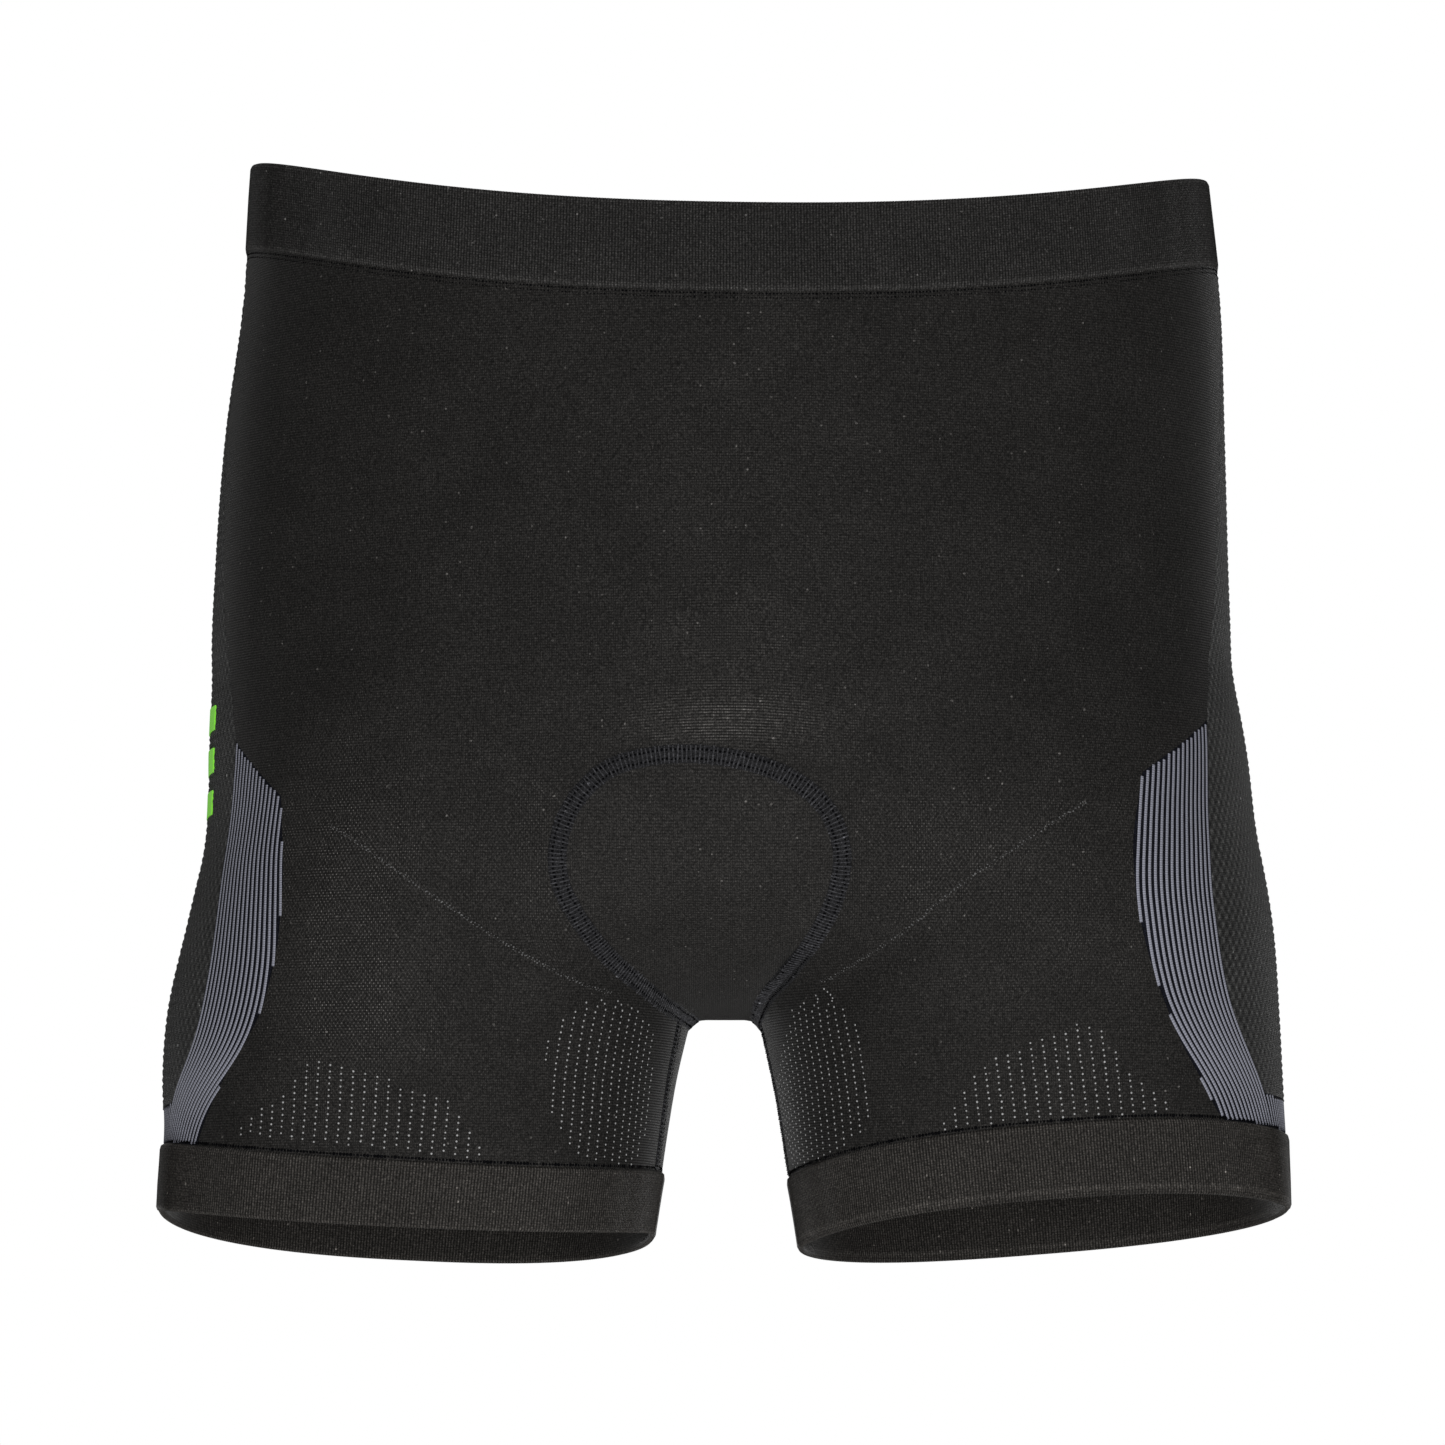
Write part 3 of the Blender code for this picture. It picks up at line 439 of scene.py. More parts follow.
def half_seams(side):
    """The seams of one half, each a row of vertices that both of its neighbours share."""
    seams = {}
    corners = seen(*CRESCENT_TOP[side])
    top = settle(corners[:1] + (corners[1:] - corners[:1]) * np.linspace(0, 1, 9)[:, None])
    inner_seen = seen(*CRESCENT_INNER[side])
    foot_line = line_of(inner_seen[-1:], side)[0] + FOOT_SHIFT
    foot = on_form(side, [foot_line], cuff_height(side, np.array([foot_line])))
    inner = curve(np.vstack([top[-1:], inner_seen, foot]), RIB_ROW)
    outer = curve(np.vstack([top[:1], seen(*CRESCENT_OUTER[side])[1:]]), count=len(inner) - 1)
    turn_line = line_of(outer[-1:], side)[0]
    strip_line = np.linspace(turn_line, MESH_BACK_LINE, 6)[1:]
    strip_top = on_form(side, strip_line, cuff_height(side, strip_line) + STRIP_DEEP)
    strip_top = curve(np.vstack([outer[-1:], strip_top]), CLOTH_STEP)
    seams["crescent_top"], seams["crescent_inner"], seams["crescent_outer"] = top, inner, outer
    seams["strip_top"] = strip_top
    share = np.linspace(foot_line, MESH_BACK_LINE, len(strip_top))
    seams["strip_low"] = on_form(side, share, cuff_height(side, share))
    seams["strip_end"] = settle(np.linspace(strip_top[-1], seams["strip_low"][-1], 5))

    stops = (-1, MESH_FRONT[side][0][0], MESH_BACK_LINE, 1)
    for name, start, end in zip(("band_front", "band_side", "band_back"), stops, stops[1:]):
        seams[name] = band_seam(side, start, end)
    front_edge = on_form(side, *zip(*MESH_FRONT[side][1:]))
    back_edge = on_form(side, MESH_BACK_LINE, MESH_BACK_HEIGHTS)
    seams["mesh_front"] = curve(np.vstack([seams["band_front"][-1:], front_edge, top[:1]]), CLOTH_STEP)
    seams["mesh_back"] = curve(np.vstack([seams["band_side"][-1:], back_edge, strip_top[-1:]]), CLOTH_STEP)

    front_line, back_line = INSEAM_LINE[side] + INSEAM_HALF - 2, INSEAM_LINE[side] - INSEAM_HALF
    under = SIDE[side]
    front_corner = nearest(GUSSET_OUTER, on_form(side, [front_line], [FORK - CORNER_DROP]))
    back_corner = (front_corner + 2 * under) % len(GUSSET_OUTER)
    down = FORK - np.array(INSEAM_DROPS)
    for name, line, corner in (("inseam_front", front_line, front_corner),
                               ("inseam_back", back_line, back_corner)):
        stops = GUSSET_OUTER[corner][None], on_form(side, line, down), cuff_seam(side, line, line)[:1]
        seams[name] = curve(np.vstack(stops), count=INSEAM_PARTS)
    seams["cuff_thigh"] = cuff_seam(side, front_line, foot_line)
    seams["cuff_back"] = cuff_seam(side, MESH_BACK_LINE, back_line)
    diagonal_corner = nearest(GUSSET_OUTER, seen(DIAGONAL_END[side]))
    seams["diagonal"] = curve(np.vstack([top[-1:], seen(*DIAGONAL[side]),
                                         GUSSET_OUTER[diagonal_corner][None]]), CLOTH_STEP)
    seams["gusset_side"] = along_gusset(diagonal_corner, front_corner, under)
    seams["corners"] = diagonal_corner, front_corner, back_corner
    return seams


def along_gusset(start, end, step):
    """The gusset seam's outer vertices from one number to another, both included."""
    count = (end - start) * step % len(GUSSET_OUTER) + 1
    return GUSSET_OUTER[(start + step * np.arange(count)) % len(GUSSET_OUTER)]


SEAMS = {side: half_seams(side) for side in SIDE}
RIGHT, LEFT = SEAMS["right"], SEAMS["left"]


def chain(*parts):
    """Join seams end to end into one closed outline."""
    outline = [parts[0][0]]
    for part in parts:
        outline += [p for p in part if np.linalg.norm(p - outline[-1]) > 0.01]
    if np.linalg.norm(outline[0] - outline[-1]) < 0.01:
        outline.pop()
    return np.array(outline)


def drape(points):
    """How far the worn cloth stands out from the plain form, in soft creases."""
    x, y, z = points.T
    lift = 0.0
    for cx, cz, across, up, turn, high, face in CREASES:
        turn = math.radians(turn)
        dx, dz = x - cx, z - cz
        s = (dx * math.cos(turn) + dz * math.sin(turn)) / across
        t = (-dx * math.sin(turn) + dz * math.cos(turn)) / up
        own = 1 / (1 + np.exp(face * y / CREASE_FADE))
        lift = lift + high * np.exp(-s * s - t * t) * own
    return lift


CREASE_FADE = 6
CREASES = (
    # centre x, centre z, half length, half width, turn, height, 1 at the front or -1 at the back
    (52, -262, 30, 5, 35, -0.9, 1),
    (58, -270, 34, 6, 32, 0.7, 1),
    (-70, -262, 30, 6, -35, 0.6, 1),
    (17, -268, 9, 3.2, 48, -2.2, 1),
    (-128, -142, 20, 42, 8, -3.2, 1),
    (128, -150, 20, 46, -8, -2.4, 1),
    (0, -176, 40, 26, 0, 1.0, 1),
    (70, -262, 60, 9, -25, -0.8, -1),
    (-70, -262, 60, 9, 25, -0.8, -1),
    (70, -285, 60, 12, -18, 0.7, -1),
    (-70, -285, 60, 12, 18, 0.7, -1),
)


def wall(name, points, faces, raised, depth, flat, finish, marks=None):
    """A closed wall of cloth: outer points raised off the form, inner points below it."""
    points = np.asarray(points, float)
    normals = form_normal(points)
    loose = drape(points)[:, None]
    outer = points + normals * (np.reshape(raised, (-1, 1)) + loose)
    inner = points - normals * (np.reshape(depth, (-1, 1)) - loose)
    faces = np.asarray(faces)
    a, b, c = (points[faces[:, i]] for i in range(3))
    facing = (np.cross(b - a, c - a) * normals[faces[:, 0]]).sum()
    if facing < 0:
        faces = faces[:, ::-1]
    edges = {(f[i], f[(i + 1) % len(f)]) for f in faces.tolist() for i in range(len(f))}
    count = len(points)
    skin = faces.tolist() + (faces[:, ::-1] + count).tolist()
    skin += [(b, a, count + a, count + b) for a, b in sorted(edges) if (b, a) not in edges]
    mesh = bpy.data.meshes.new(name)
    mesh.from_pydata((np.vstack([outer, inner]) * MM).tolist(), [], skin)
    mesh.materials.append(finish)
    loops = np.empty(len(mesh.loops), int)
    mesh.loops.foreach_get("vertex_index", loops)
    layer = mesh.uv_layers.new(name="flat")
    layer.uv.foreach_set("vector", (np.vstack([flat, flat]) * MM)[loops].astype(np.float32).ravel())
    add_values(mesh, "skin", np.repeat([1.0, 0.0], count))
    add_values(mesh, "out", np.vstack([normals, normals]))
    for key, value in (marks or {}).items():
        add_values(mesh, key, np.concatenate([value, value]))
    piece = bpy.data.objects.new(name, mesh)
    bpy.context.scene.collection.objects.link(piece)
    mesh.shade_smooth()
    mesh.set_sharp_from_angle(angle=math.radians(50))
    return piece


def add_values(mesh, name, values):
    """Store a number or a direction on each of a mesh's points."""
    values = np.asarray(values, np.float32)
    kind, key = ("FLOAT", "value") if values.ndim == 1 else ("FLOAT_VECTOR", "vector")
    mesh.attributes.new(name, kind, "POINT").data.foreach_set(key, values.ravel())


def inside(flat, polygon, margin):
    """Which points lie inside a polygon and at least a margin from its edges."""
    a, b = polygon, np.roll(polygon, -1, axis=0)
    way = b - a
    good = []
    for some in np.array_split(flat, max(1, len(flat) // 2000)):
        x, y = some[:, None, 0], some[:, None, 1]
        crosses = (a[:, 1] > y) != (b[:, 1] > y)
        meet = a[:, 0] + (y - a[:, 1]) / np.where(way[:, 1] == 0, 1e-9, way[:, 1]) * way[:, 0]
        within = (crosses & (x < meet)).sum(1) % 2 == 1
        share = np.clip(((some[:, None] - a) * way).sum(-1) / (way ** 2).sum(-1), 0, 1)
        off = np.linalg.norm(some[:, None] - (a + share[..., None] * way), axis=-1).min(1)
        good.append(within & (off > margin))
    return np.concatenate(good)


def panel(name, outline, flat_and_form, spacing, finish, marks=None):
    """A panel cut to an outline on the form, with its points at an even spacing."""
    to_flat, to_form = flat_and_form
    edge = to_flat(outline)
    low, high = edge.min(0), edge.max(0)
    rows = np.arange(low[1], high[1], spacing * math.sqrt(3) / 2)
    fill = np.array([(x + (i % 2) * spacing / 2, y) for i, y in enumerate(rows)
                     for x in np.arange(low[0], high[0], spacing)])
    fill = fill[inside(fill, edge, spacing * 0.5)]
    flat = np.vstack([edge, fill])
    bounds = [(i, (i + 1) % len(edge)) for i in range(len(edge))]
    found, _, faces, source, _, _ = delaunay_2d_cdt([tuple(p) for p in flat], bounds, [], 1, 1e-5)
    assert len(found) == len(flat), (name, len(found), len(flat))
    order = [s[0] for s in source]
    points = np.vstack([outline, to_form(fill)])[order]
    flat = flat[order]
    return wall(name, points, faces, 0.0, CLOTH, flat, finish, marks(points) if marks else None)


def both_halves(off_centre, line_at):
    """Flat and form places of a panel that spans the centre, from its rule for one half."""
    def to_flat(points):
        flat = np.empty((len(points), 2))
        for side, way in SIDE.items():
            own = points[:, 0] * way >= 0
            z = points[own, 2]
            flat[own] = np.stack([way * off_centre(line_of(points[own], side), z) * WIDE, z], -1)
        return flat

    def to_form(flat):
        points = np.empty((len(flat), 3))
        for side, way in SIDE.items():
            own = flat[:, 0] * way >= 0
            z = flat[own, 1]
            points[own] = on_form(side, line_at(np.abs(flat[own, 0]) / WIDE, z), z)
        return points
    return to_flat, to_form


def add_node(tree, kind, inputs=None, **settings):
    """Add a node, set it up, and link or set its inputs by name or number."""
    made = tree.nodes.new(kind)
    for key, value in settings.items():
        setattr(made, key, value)
    for key, value in (inputs or {}).items():
        if isinstance(value, bpy.types.NodeSocket):
            tree.links.new(value, made.inputs[key])
        else:
            made.inputs[key].default_value = value
    return made


def sums(tree, operation, *values, clamp=False):
    """The result of one sum on values or sockets."""
    made = add_node(tree, "ShaderNodeMath", dict(enumerate(values)), operation=operation, use_clamp=clamp)
    return made.outputs[0]


def wave(tree, place, pitch, phase=0.0):
    """A smooth wave from 0 to 1 along a place, with the given pitch in metres."""
    turns = sums(tree, "MULTIPLY_ADD", place, 2 * math.pi / pitch, phase)
    return sums(tree, "MULTIPLY_ADD", sums(tree, "COSINE", turns), 0.5, 0.5)


def knit(name, colour, wale=0.7, course=0.85, stitch=0.5, cross=1.0, grain=2.4, mottle=0.35, specks=0.9,
         bump=0.35, gloss=0.08, sheen=0.16, extra=None):
    """A knitted cloth: stitches in wales and courses from the flat map, grain, mottling and lint."""
    made = bpy.data.materials.new(name)
    made.use_nodes = True
    tree = made.node_tree
    shader = tree.nodes["Principled BSDF"]
    flat = add_node(tree, "ShaderNodeUVMap", uv_map="flat").outputs[0]
    across, up, _ = add_node(tree, "ShaderNodeSeparateXYZ", {0: flat}).outputs[:3]
    place = add_node(tree, "ShaderNodeTexCoord").outputs["Object"]
    ribs = wave(tree, across, wale * MM)
    rows = wave(tree, up, course * MM, sums(tree, "MULTIPLY", ribs, 0.9))
    rows = sums(tree, "MULTIPLY_ADD", sums(tree, "POWER", rows, 0.8), cross, 1 - cross)
    loops = sums(tree, "MULTIPLY", sums(tree, "POWER", ribs, 0.6), rows)
    fine = add_node(tree, "ShaderNodeTexNoise", {"Vector": place, "Scale": 1700.0, "Detail": 2.0}).outputs[0]
    broad = add_node(tree, "ShaderNodeTexNoise", {"Vector": place, "Scale": 45.0, "Detail": 4.0}).outputs[0]
    tone = sums(tree, "MULTIPLY_ADD", loops, stitch, -0.38 * stitch)
    tone = sums(tree, "ADD", tone, sums(tree, "MULTIPLY_ADD", fine, grain, -0.5 * grain))
    tone = sums(tree, "ADD", tone, sums(tree, "MULTIPLY_ADD", broad, mottle, -0.5 * mottle))
    cells = add_node(tree, "ShaderNodeTexVoronoi", {"Vector": place, "Scale": 260.0, "Randomness": 1.0})
    small = sums(tree, "LESS_THAN", cells.outputs["Distance"], 0.1)
    pick = add_node(tree, "ShaderNodeSeparateColor", {0: cells.outputs["Color"]}).outputs[0]
    lint = sums(tree, "MULTIPLY", small, sums(tree, "GREATER_THAN", pick, 0.7))
    tone = sums(tree, "MULTIPLY_ADD", lint, specks, tone)
    if extra:
        tone = extra(tree, across, up, place, tone)
    shade = sums(tree, "POWER", 5.0, tone)
    tint = add_node(tree, "ShaderNodeVectorMath", {0: colour, "Scale": shade}, operation="SCALE").outputs[0]
    tree.links.new(tint, shader.inputs["Base Color"])
    height = sums(tree, "MULTIPLY_ADD", fine, 0.5, loops)
    bumped = add_node(tree, "ShaderNodeBump", {"Strength": bump, "Distance": 0.3 * MM, "Height": height})
    tree.links.new(bumped.outputs[0], shader.inputs["Normal"])
    for key, value in (("Roughness", 0.75), ("Specular IOR Level", gloss), ("Sheen Weight", sheen),
                       ("Sheen Roughness", 0.3)):
        shader.inputs[key].default_value = value
    return made


def new_growth(name, **sizes):
    """A node tree that works on a piece's mesh, with named inputs for its finish and its sizes."""
    tree = bpy.data.node_groups.new(name, "GeometryNodeTree")
    tree.interface.new_socket("Geometry", in_out="INPUT", socket_type="NodeSocketGeometry")
    tree.interface.new_socket("Finish", in_out="INPUT", socket_type="NodeSocketMaterial")
    for label, value in sizes.items():
        tree.interface.new_socket(label, in_out="INPUT", socket_type="NodeSocketFloat").default_value = value
    tree.interface.new_socket("Geometry", in_out="OUTPUT", socket_type="NodeSocketGeometry")
    return tree, add_node(tree, "NodeGroupInput").outputs


def end_growth(tree, enter, shape):
    real = add_node(tree, "GeometryNodeRealizeInstances", {0: shape}).outputs[0]
    made = add_node(tree, "GeometryNodeSetMaterial", {"Geometry": real, "Material": enter["Finish"]})
    add_node(tree, "NodeGroupOutput", {0: made.outputs[0]})


def stored(tree, name, kind="FLOAT"):
    """A value that is stored on the mesh's points."""
    made = add_node(tree, "GeometryNodeInputNamedAttribute", {"Name": name}, data_type=kind)
    return [s for s in made.outputs if s.enabled and s.name == "Attribute"][0]


def grow(piece, tree, finish, **sizes):
    """Run a node tree on a piece and keep what it makes as the piece's plain mesh."""
    growth = piece.modifiers.new("growth", "NODES")
    growth.node_group = tree
    given = {"Finish": finish, **sizes}
    for item in tree.interface.items_tree:
        if item.in_out == "INPUT" and item.name != "Geometry":
            growth[item.identifier] = given[item.name] if item.name in given else item.default_value
    view = bpy.context.evaluated_depsgraph_get()
    made = bpy.data.meshes.new_from_object(piece.evaluated_get(view), preserve_all_data_layers=True,
                                           depsgraph=view)
    piece.modifiers.remove(growth)
    piece.data = made
    made.name = piece.name


def stations(name, points, edges=(), **marks):
    """Bare points on the cloth, with what is stored on them, for a node tree to work on."""
    mesh = bpy.data.meshes.new(name)
    mesh.from_pydata((np.asarray(points) * MM).tolist(), list(edges), [])
    for key, value in marks.items():
        add_values(mesh, key, value)
    piece = bpy.data.objects.new(name, mesh)
    bpy.context.scene.collection.objects.link(piece)
    return piece


def fix(piece, node=None):
    """Fix a piece to the garment, in place of its plain node if it has one."""
    if node:
        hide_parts(node)
    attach(piece, "root")


def lay_cloth(piece, node):
    """Fix a piece of cloth in place of its node, and work out the size that it was cut to."""
    fix(piece, node)
    areas = np.empty(len(piece.data.polygons))
    piece.data.polygons.foreach_get("area", areas)
    flat = np.empty(2 * len(piece.data.loops), np.float32)
    piece.data.uv_layers["flat"].uv.foreach_get("vector", flat)
    size = np.ptp(flat.reshape(-1, 2), axis=0) / STRETCH
    area = areas.sum() / 2 / STRETCH ** 2
    size[size.argmin()] *= max(1.0, area / (size[0] * size[1]))


def tucks_and_painted_highlight(tree, across, up, place, tone):
    """Faint light points in a slanting lattice, and courses painted lighter as a highlight down the middle of
    the front.
    """
    one = wave(tree, sums(tree, "MULTIPLY_ADD", up, 0.7, across), 1.35 * MM)
    two = wave(tree, sums(tree, "MULTIPLY_ADD", up, -0.7, across), 1.35 * MM)
    point = sums(tree, "POWER", sums(tree, "MULTIPLY", one, two), 3.0)
    marked = add_node(tree, "ShaderNodeAttribute", attribute_name="tucks").outputs["Fac"]
    taut = add_node(tree, "ShaderNodeAttribute", attribute_name="taut").outputs["Fac"]
    sag = sums(tree, "MULTIPLY", sums(tree, "MULTIPLY", across, across), 2.2)
    courses = wave(tree, sums(tree, "ADD", up, sag), 0.95 * MM)
    broken = add_node(tree, "ShaderNodeTexNoise", {"Vector": place, "Scale": 420.0}).outputs[0]
    # Courses painted lighter as a highlight, as strongly as is stored on the cloth.
    line = sums(tree, "MULTIPLY", sums(tree, "MULTIPLY_ADD", courses, 0.9, -0.15), sums(
        tree, "MULTIPLY", broken, 2.0))
    return sums(tree, "MULTIPLY_ADD", line, taut, sums(tree, "MULTIPLY_ADD", point, marked, tone))


TUCK_FIELDS = (
    # middle across, middle up, half width, half height, strength
    (-122, -232, 30, 40, 1.2),
    (-118, -285, 30, 26, 1.0),
    (-40, -250, 26, 22, 0.5),
    (-60, -225, 24, 24, 0.5),
    (110, -245, 34, 46, 0.6),
    (62, -232, 26, 26, 0.7),
)
# Where the courses are painted lighter as a highlight, in the same columns.
PAINTED_HIGHLIGHT_FIELDS = ((2, -191, 30, 9, 1.0), (4, -170, 36, 26, 0.35), (8, -105, 46, 44, 0.2))


def tucks_and_painted_highlight_at(points):
    """How strongly the tuck stitches and the courses of painted highlight show at each point of the front."""
    x, y, z = points.T

    def near(fields):
        return sum(high * np.exp(-((x - cx) / wide) ** 2 - ((z - cz) / tall) ** 2)
                   for cx, cz, wide, tall, high in fields)
    return {"tucks": 0.12 + near(TUCK_FIELDS), "taut": near(PAINTED_HIGHLIGHT_FIELDS)}


BLACK = (0.0215, 0.0205, 0.0195)
jersey = knit("black_jersey", BLACK)
front_jersey = knit("black_front_jersey", BLACK, extra=tucks_and_painted_highlight)
front = panel("front_jersey", chain(
    LEFT["band_front"], LEFT["mesh_front"], LEFT["crescent_top"], LEFT["diagonal"],
    along_gusset(LEFT["corners"][0], RIGHT["corners"][0], -1), RIGHT["diagonal"][::-1],
    RIGHT["crescent_top"][::-1], RIGHT["mesh_front"][::-1], RIGHT["band_front"][::-1]),
    both_halves(lambda line, z: 1 + line, lambda off, z: off - 1), CLOTH_STEP, front_jersey, tucks_and_painted_highlight_at)
lay_cloth(front, "front_panel")


# Thigh fronts
# The front of each leg, below the slanting line, is the same black jersey in one run with the front. Fine
# light tuck stitches show all over it, and two fields of larger light dots are knitted in above each cuff.
PAST_INSEAM = 0.6


def one_half(side):
    """Flat and form places of a panel that lies on one half only, front of the inseam."""
    def to_flat(points):
        line = line_of(points, side)
        line = np.where(line > PAST_INSEAM, line - 2, line)
        return np.stack([line * cloth_run(side, line, points[:, 2]), points[:, 2]], -1)

    def to_form(flat):
        return on_form(side, flat[:, 0] / cloth_run(side, flat[:, 0], flat[:, 1]), flat[:, 1])
    return to_flat, to_form


for side in SIDE:
    seams = SEAMS[side]
    thigh = panel("thigh_jersey_" + side, chain(
        seams["diagonal"], seams["gusset_side"], seams["inseam_front"], seams["cuff_thigh"],
        seams["crescent_inner"][::-1]), one_half(side), CLOTH_STEP, front_jersey, tucks_and_painted_highlight_at)
    lay_cloth(thigh, "thigh_front_" + side)


# Seat and backs of the thighs
# One wide piece of the black jersey, from one side mesh round to the other. It takes the seat in its stretch,
# and short soft folds form under the seat where the legs part.
LEG_PARTING = 0.12
PARTING_TOP = -205
PARTING_DEEP = 70


def parting(z):
    """How far the two legs are drawn apart in the flat back panel, in line numbers."""
    return LEG_PARTING * np.clip((PARTING_TOP - z) / PARTING_DEEP, 0, 1)


def off_back_centre(line, z):
    """How far a line of the back lies from the panel's middle, in line numbers."""
    return 1 - np.where(line < -PAST_INSEAM, line + 2, line) + parting(z)


def back_line(off, z):
    line = 1 - off + parting(z)
    return np.where(z > FORK, np.minimum(line, 1), line)


seat = panel("seat_jersey", chain(
    LEFT["band_back"][::-1], LEFT["mesh_back"], LEFT["strip_end"], LEFT["cuff_back"],
    LEFT["inseam_back"][::-1], along_gusset(LEFT["corners"][2], RIGHT["corners"][2], 1),
    RIGHT["inseam_back"], RIGHT["cuff_back"][::-1], RIGHT["strip_end"][::-1], RIGHT["mesh_back"][::-1],
    RIGHT["band_back"]),
    both_halves(off_back_centre, back_line), CLOTH_STEP, jersey)
lay_cloth(seat, "back_panel")


# Gusset
# An oval of the same jersey that runs from the front, under the crotch, to the seat, where a pad is held
# inside. Its colour is painted a quarter lighter than the front's, as painted light.
GUSSET_PAINTED_LIGHT = 1.25


def gusset_flat(points):
    turn = np.degrees(np.arctan2(HUB_Z - points[:, 2], HUB_Y - points[:, 1]))
    turn = np.where(turn < -100, turn + 360, turn)
    return np.stack([points[:, 0], -np.radians(turn) * HUB_REACH], -1)


def gusset_form(flat):
    return swing(flat[:, 0], np.degrees(-flat[:, 1] / HUB_REACH))


# Painted light: the same jersey's colour made a quarter lighter.
gusset_jersey = knit("black_gusset_jersey", tuple(GUSSET_PAINTED_LIGHT * c for c in BLACK))
gusset = panel("gusset_jersey", GUSSET_INNER, (gusset_flat, gusset_form), CLOTH_STEP, gusset_jersey)
lay_cloth(gusset, "gusset")


# Seams
# A flat seam 6 mm wide joins the gusset all round, and another closes each inseam. Its threads lie across it
# like the rungs of a ladder, between two rows of needle holes drawn as near-black dots of painted shade.
def loft(name, rail_a, rail_b, across, finish, raised=0.0, depth=CLOTH, closed=False):
    """A strip between two rails, with its points brought onto the form."""
    across = np.asarray(across, float)
    grid = settle(rail_a[:, None] + (rail_b - rail_a)[:, None] * across[None, :, None])
    rows, columns = grid.shape[:2]
    at = np.arange(rows * columns).reshape(rows, columns)
    if closed:
        at = np.vstack([at, at[:1]])
    faces = np.stack([at[:-1, :-1], at[:-1, 1:], at[1:, 1:], at[1:, :-1]], -1).reshape(-1, 4)
    run = run_along(grid[:, 0])
    if closed:
        length = run[-1] + np.linalg.norm(grid[0, 0] - grid[-1, 0])
        run *= round(length) / length
        length = round(length)
    wide = np.linalg.norm(rail_b - rail_a, axis=1).mean()
    flat = np.stack(np.broadcast_arrays(run[:, None], across[None, :] * wide), -1).reshape(-1, 2)
    lift, deep = (np.broadcast_to(v, (rows, columns)).reshape(-1) for v in (raised, depth))
    made = wall(name, grid.reshape(-1, 3), faces, lift, deep, flat, finish,
                {"run": np.repeat(run * MM, columns)})
    if closed:
        close_flat(made, length)
    return made


def close_flat(piece, length):
    """Carry the flat map on past the place where a closed strip meets itself."""
    layer = piece.data.uv_layers["flat"].uv
    flat = np.empty(2 * len(layer), np.float32)
    layer.foreach_get("vector", flat)
    flat = flat.reshape(-1, 2)
    start = np.empty(len(piece.data.polygons), int)
    piece.data.polygons.foreach_get("loop_start", start)
    most = np.maximum.reduceat(flat[:, 0], start)
    corners = np.diff(np.append(start, len(flat)))
    late = np.repeat(most, corners) - flat[:, 0] > length * MM / 2
    flat[late, 0] += length * MM
    layer.foreach_set("vector", flat.ravel())


SEAM_ROWS = np.linspace(0, 1, 9)
SEAM_HIGH = 0.5
SEAM_SWELL = SEAM_HIGH * np.array((0.0, 0.8, 0.95, 1, 1, 1, 0.95, 0.8, 0.0))
RUNG_PITCH = 1.4
RUNG_SUNK = 0.15
HOLE_OFF = 1.5
tape = knit("seam_tape", (0.018, 0.018, 0.0195), wale=0.5, course=0.5)
thread = knit("seam_thread", (0.034, 0.034, 0.037), wale=0.3, course=0.3, mottle=0.6)
# Near-black dots, raised on the cloth, stand for needle holes as painted shade.
hole_shade = knit("needle_hole_shade", (0.002, 0.002, 0.0025), specks=0, gloss=0.02, sheen=0)



def lay_at_stations(tree, enter, shape, turn):
    """Lay a small shape at every station, turned and sized as is stored there, and end the tree."""
    smooth = add_node(tree, "GeometryNodeSetShadeSmooth", {0: shape.outputs[0]})
    spots = add_node(tree, "GeometryNodeMeshToPoints", {"Mesh": enter["Geometry"]})
    size = add_node(tree, "ShaderNodeCombineXYZ", {i: stored(tree, "size") for i in range(3)})
    laid = add_node(tree, "GeometryNodeInstanceOnPoints", {
        "Points": spots.outputs[0], "Instance": smooth.outputs[0], "Rotation": turn.outputs[0],
        "Scale": size.outputs[0]})
    end_growth(tree, enter, laid.outputs[0])


ladder, enter = new_growth("ladder_rungs", Length=5.9 * MM, Thickness=0.27 * MM, Rise=0.45 * MM)
half = sums(ladder, "MULTIPLY", enter["Length"], 0.5)
arc = add_node(ladder, "GeometryNodeCurveQuadraticBezier", {"Resolution": 4})
for key, x, z in (("Start", sums(ladder, "MULTIPLY", half, -1.0), 0.0), ("Middle", 0.0, enter["Rise"]),
                  ("End", half, 0.0)):
    place = add_node(ladder, "ShaderNodeCombineXYZ", {"X": x, "Z": z}).outputs[0]
    ladder.links.new(place, arc.inputs[key])
ring = add_node(ladder, "GeometryNodeCurvePrimitiveCircle", {"Resolution": 5, "Radius": enter["Thickness"]})
rung = add_node(ladder, "GeometryNodeCurveToMesh", {
    "Curve": arc.outputs[0], "Profile Curve": ring.outputs[0], "Fill Caps": True})
turn = add_node(ladder, "FunctionNodeAxesToRotation", {
    "Primary Axis": stored(ladder, "across", "FLOAT_VECTOR"),
    "Secondary Axis": stored(ladder, "out", "FLOAT_VECTOR")}, primary_axis="X", secondary_axis="Z")
lay_at_stations(ladder, enter, rung, turn)

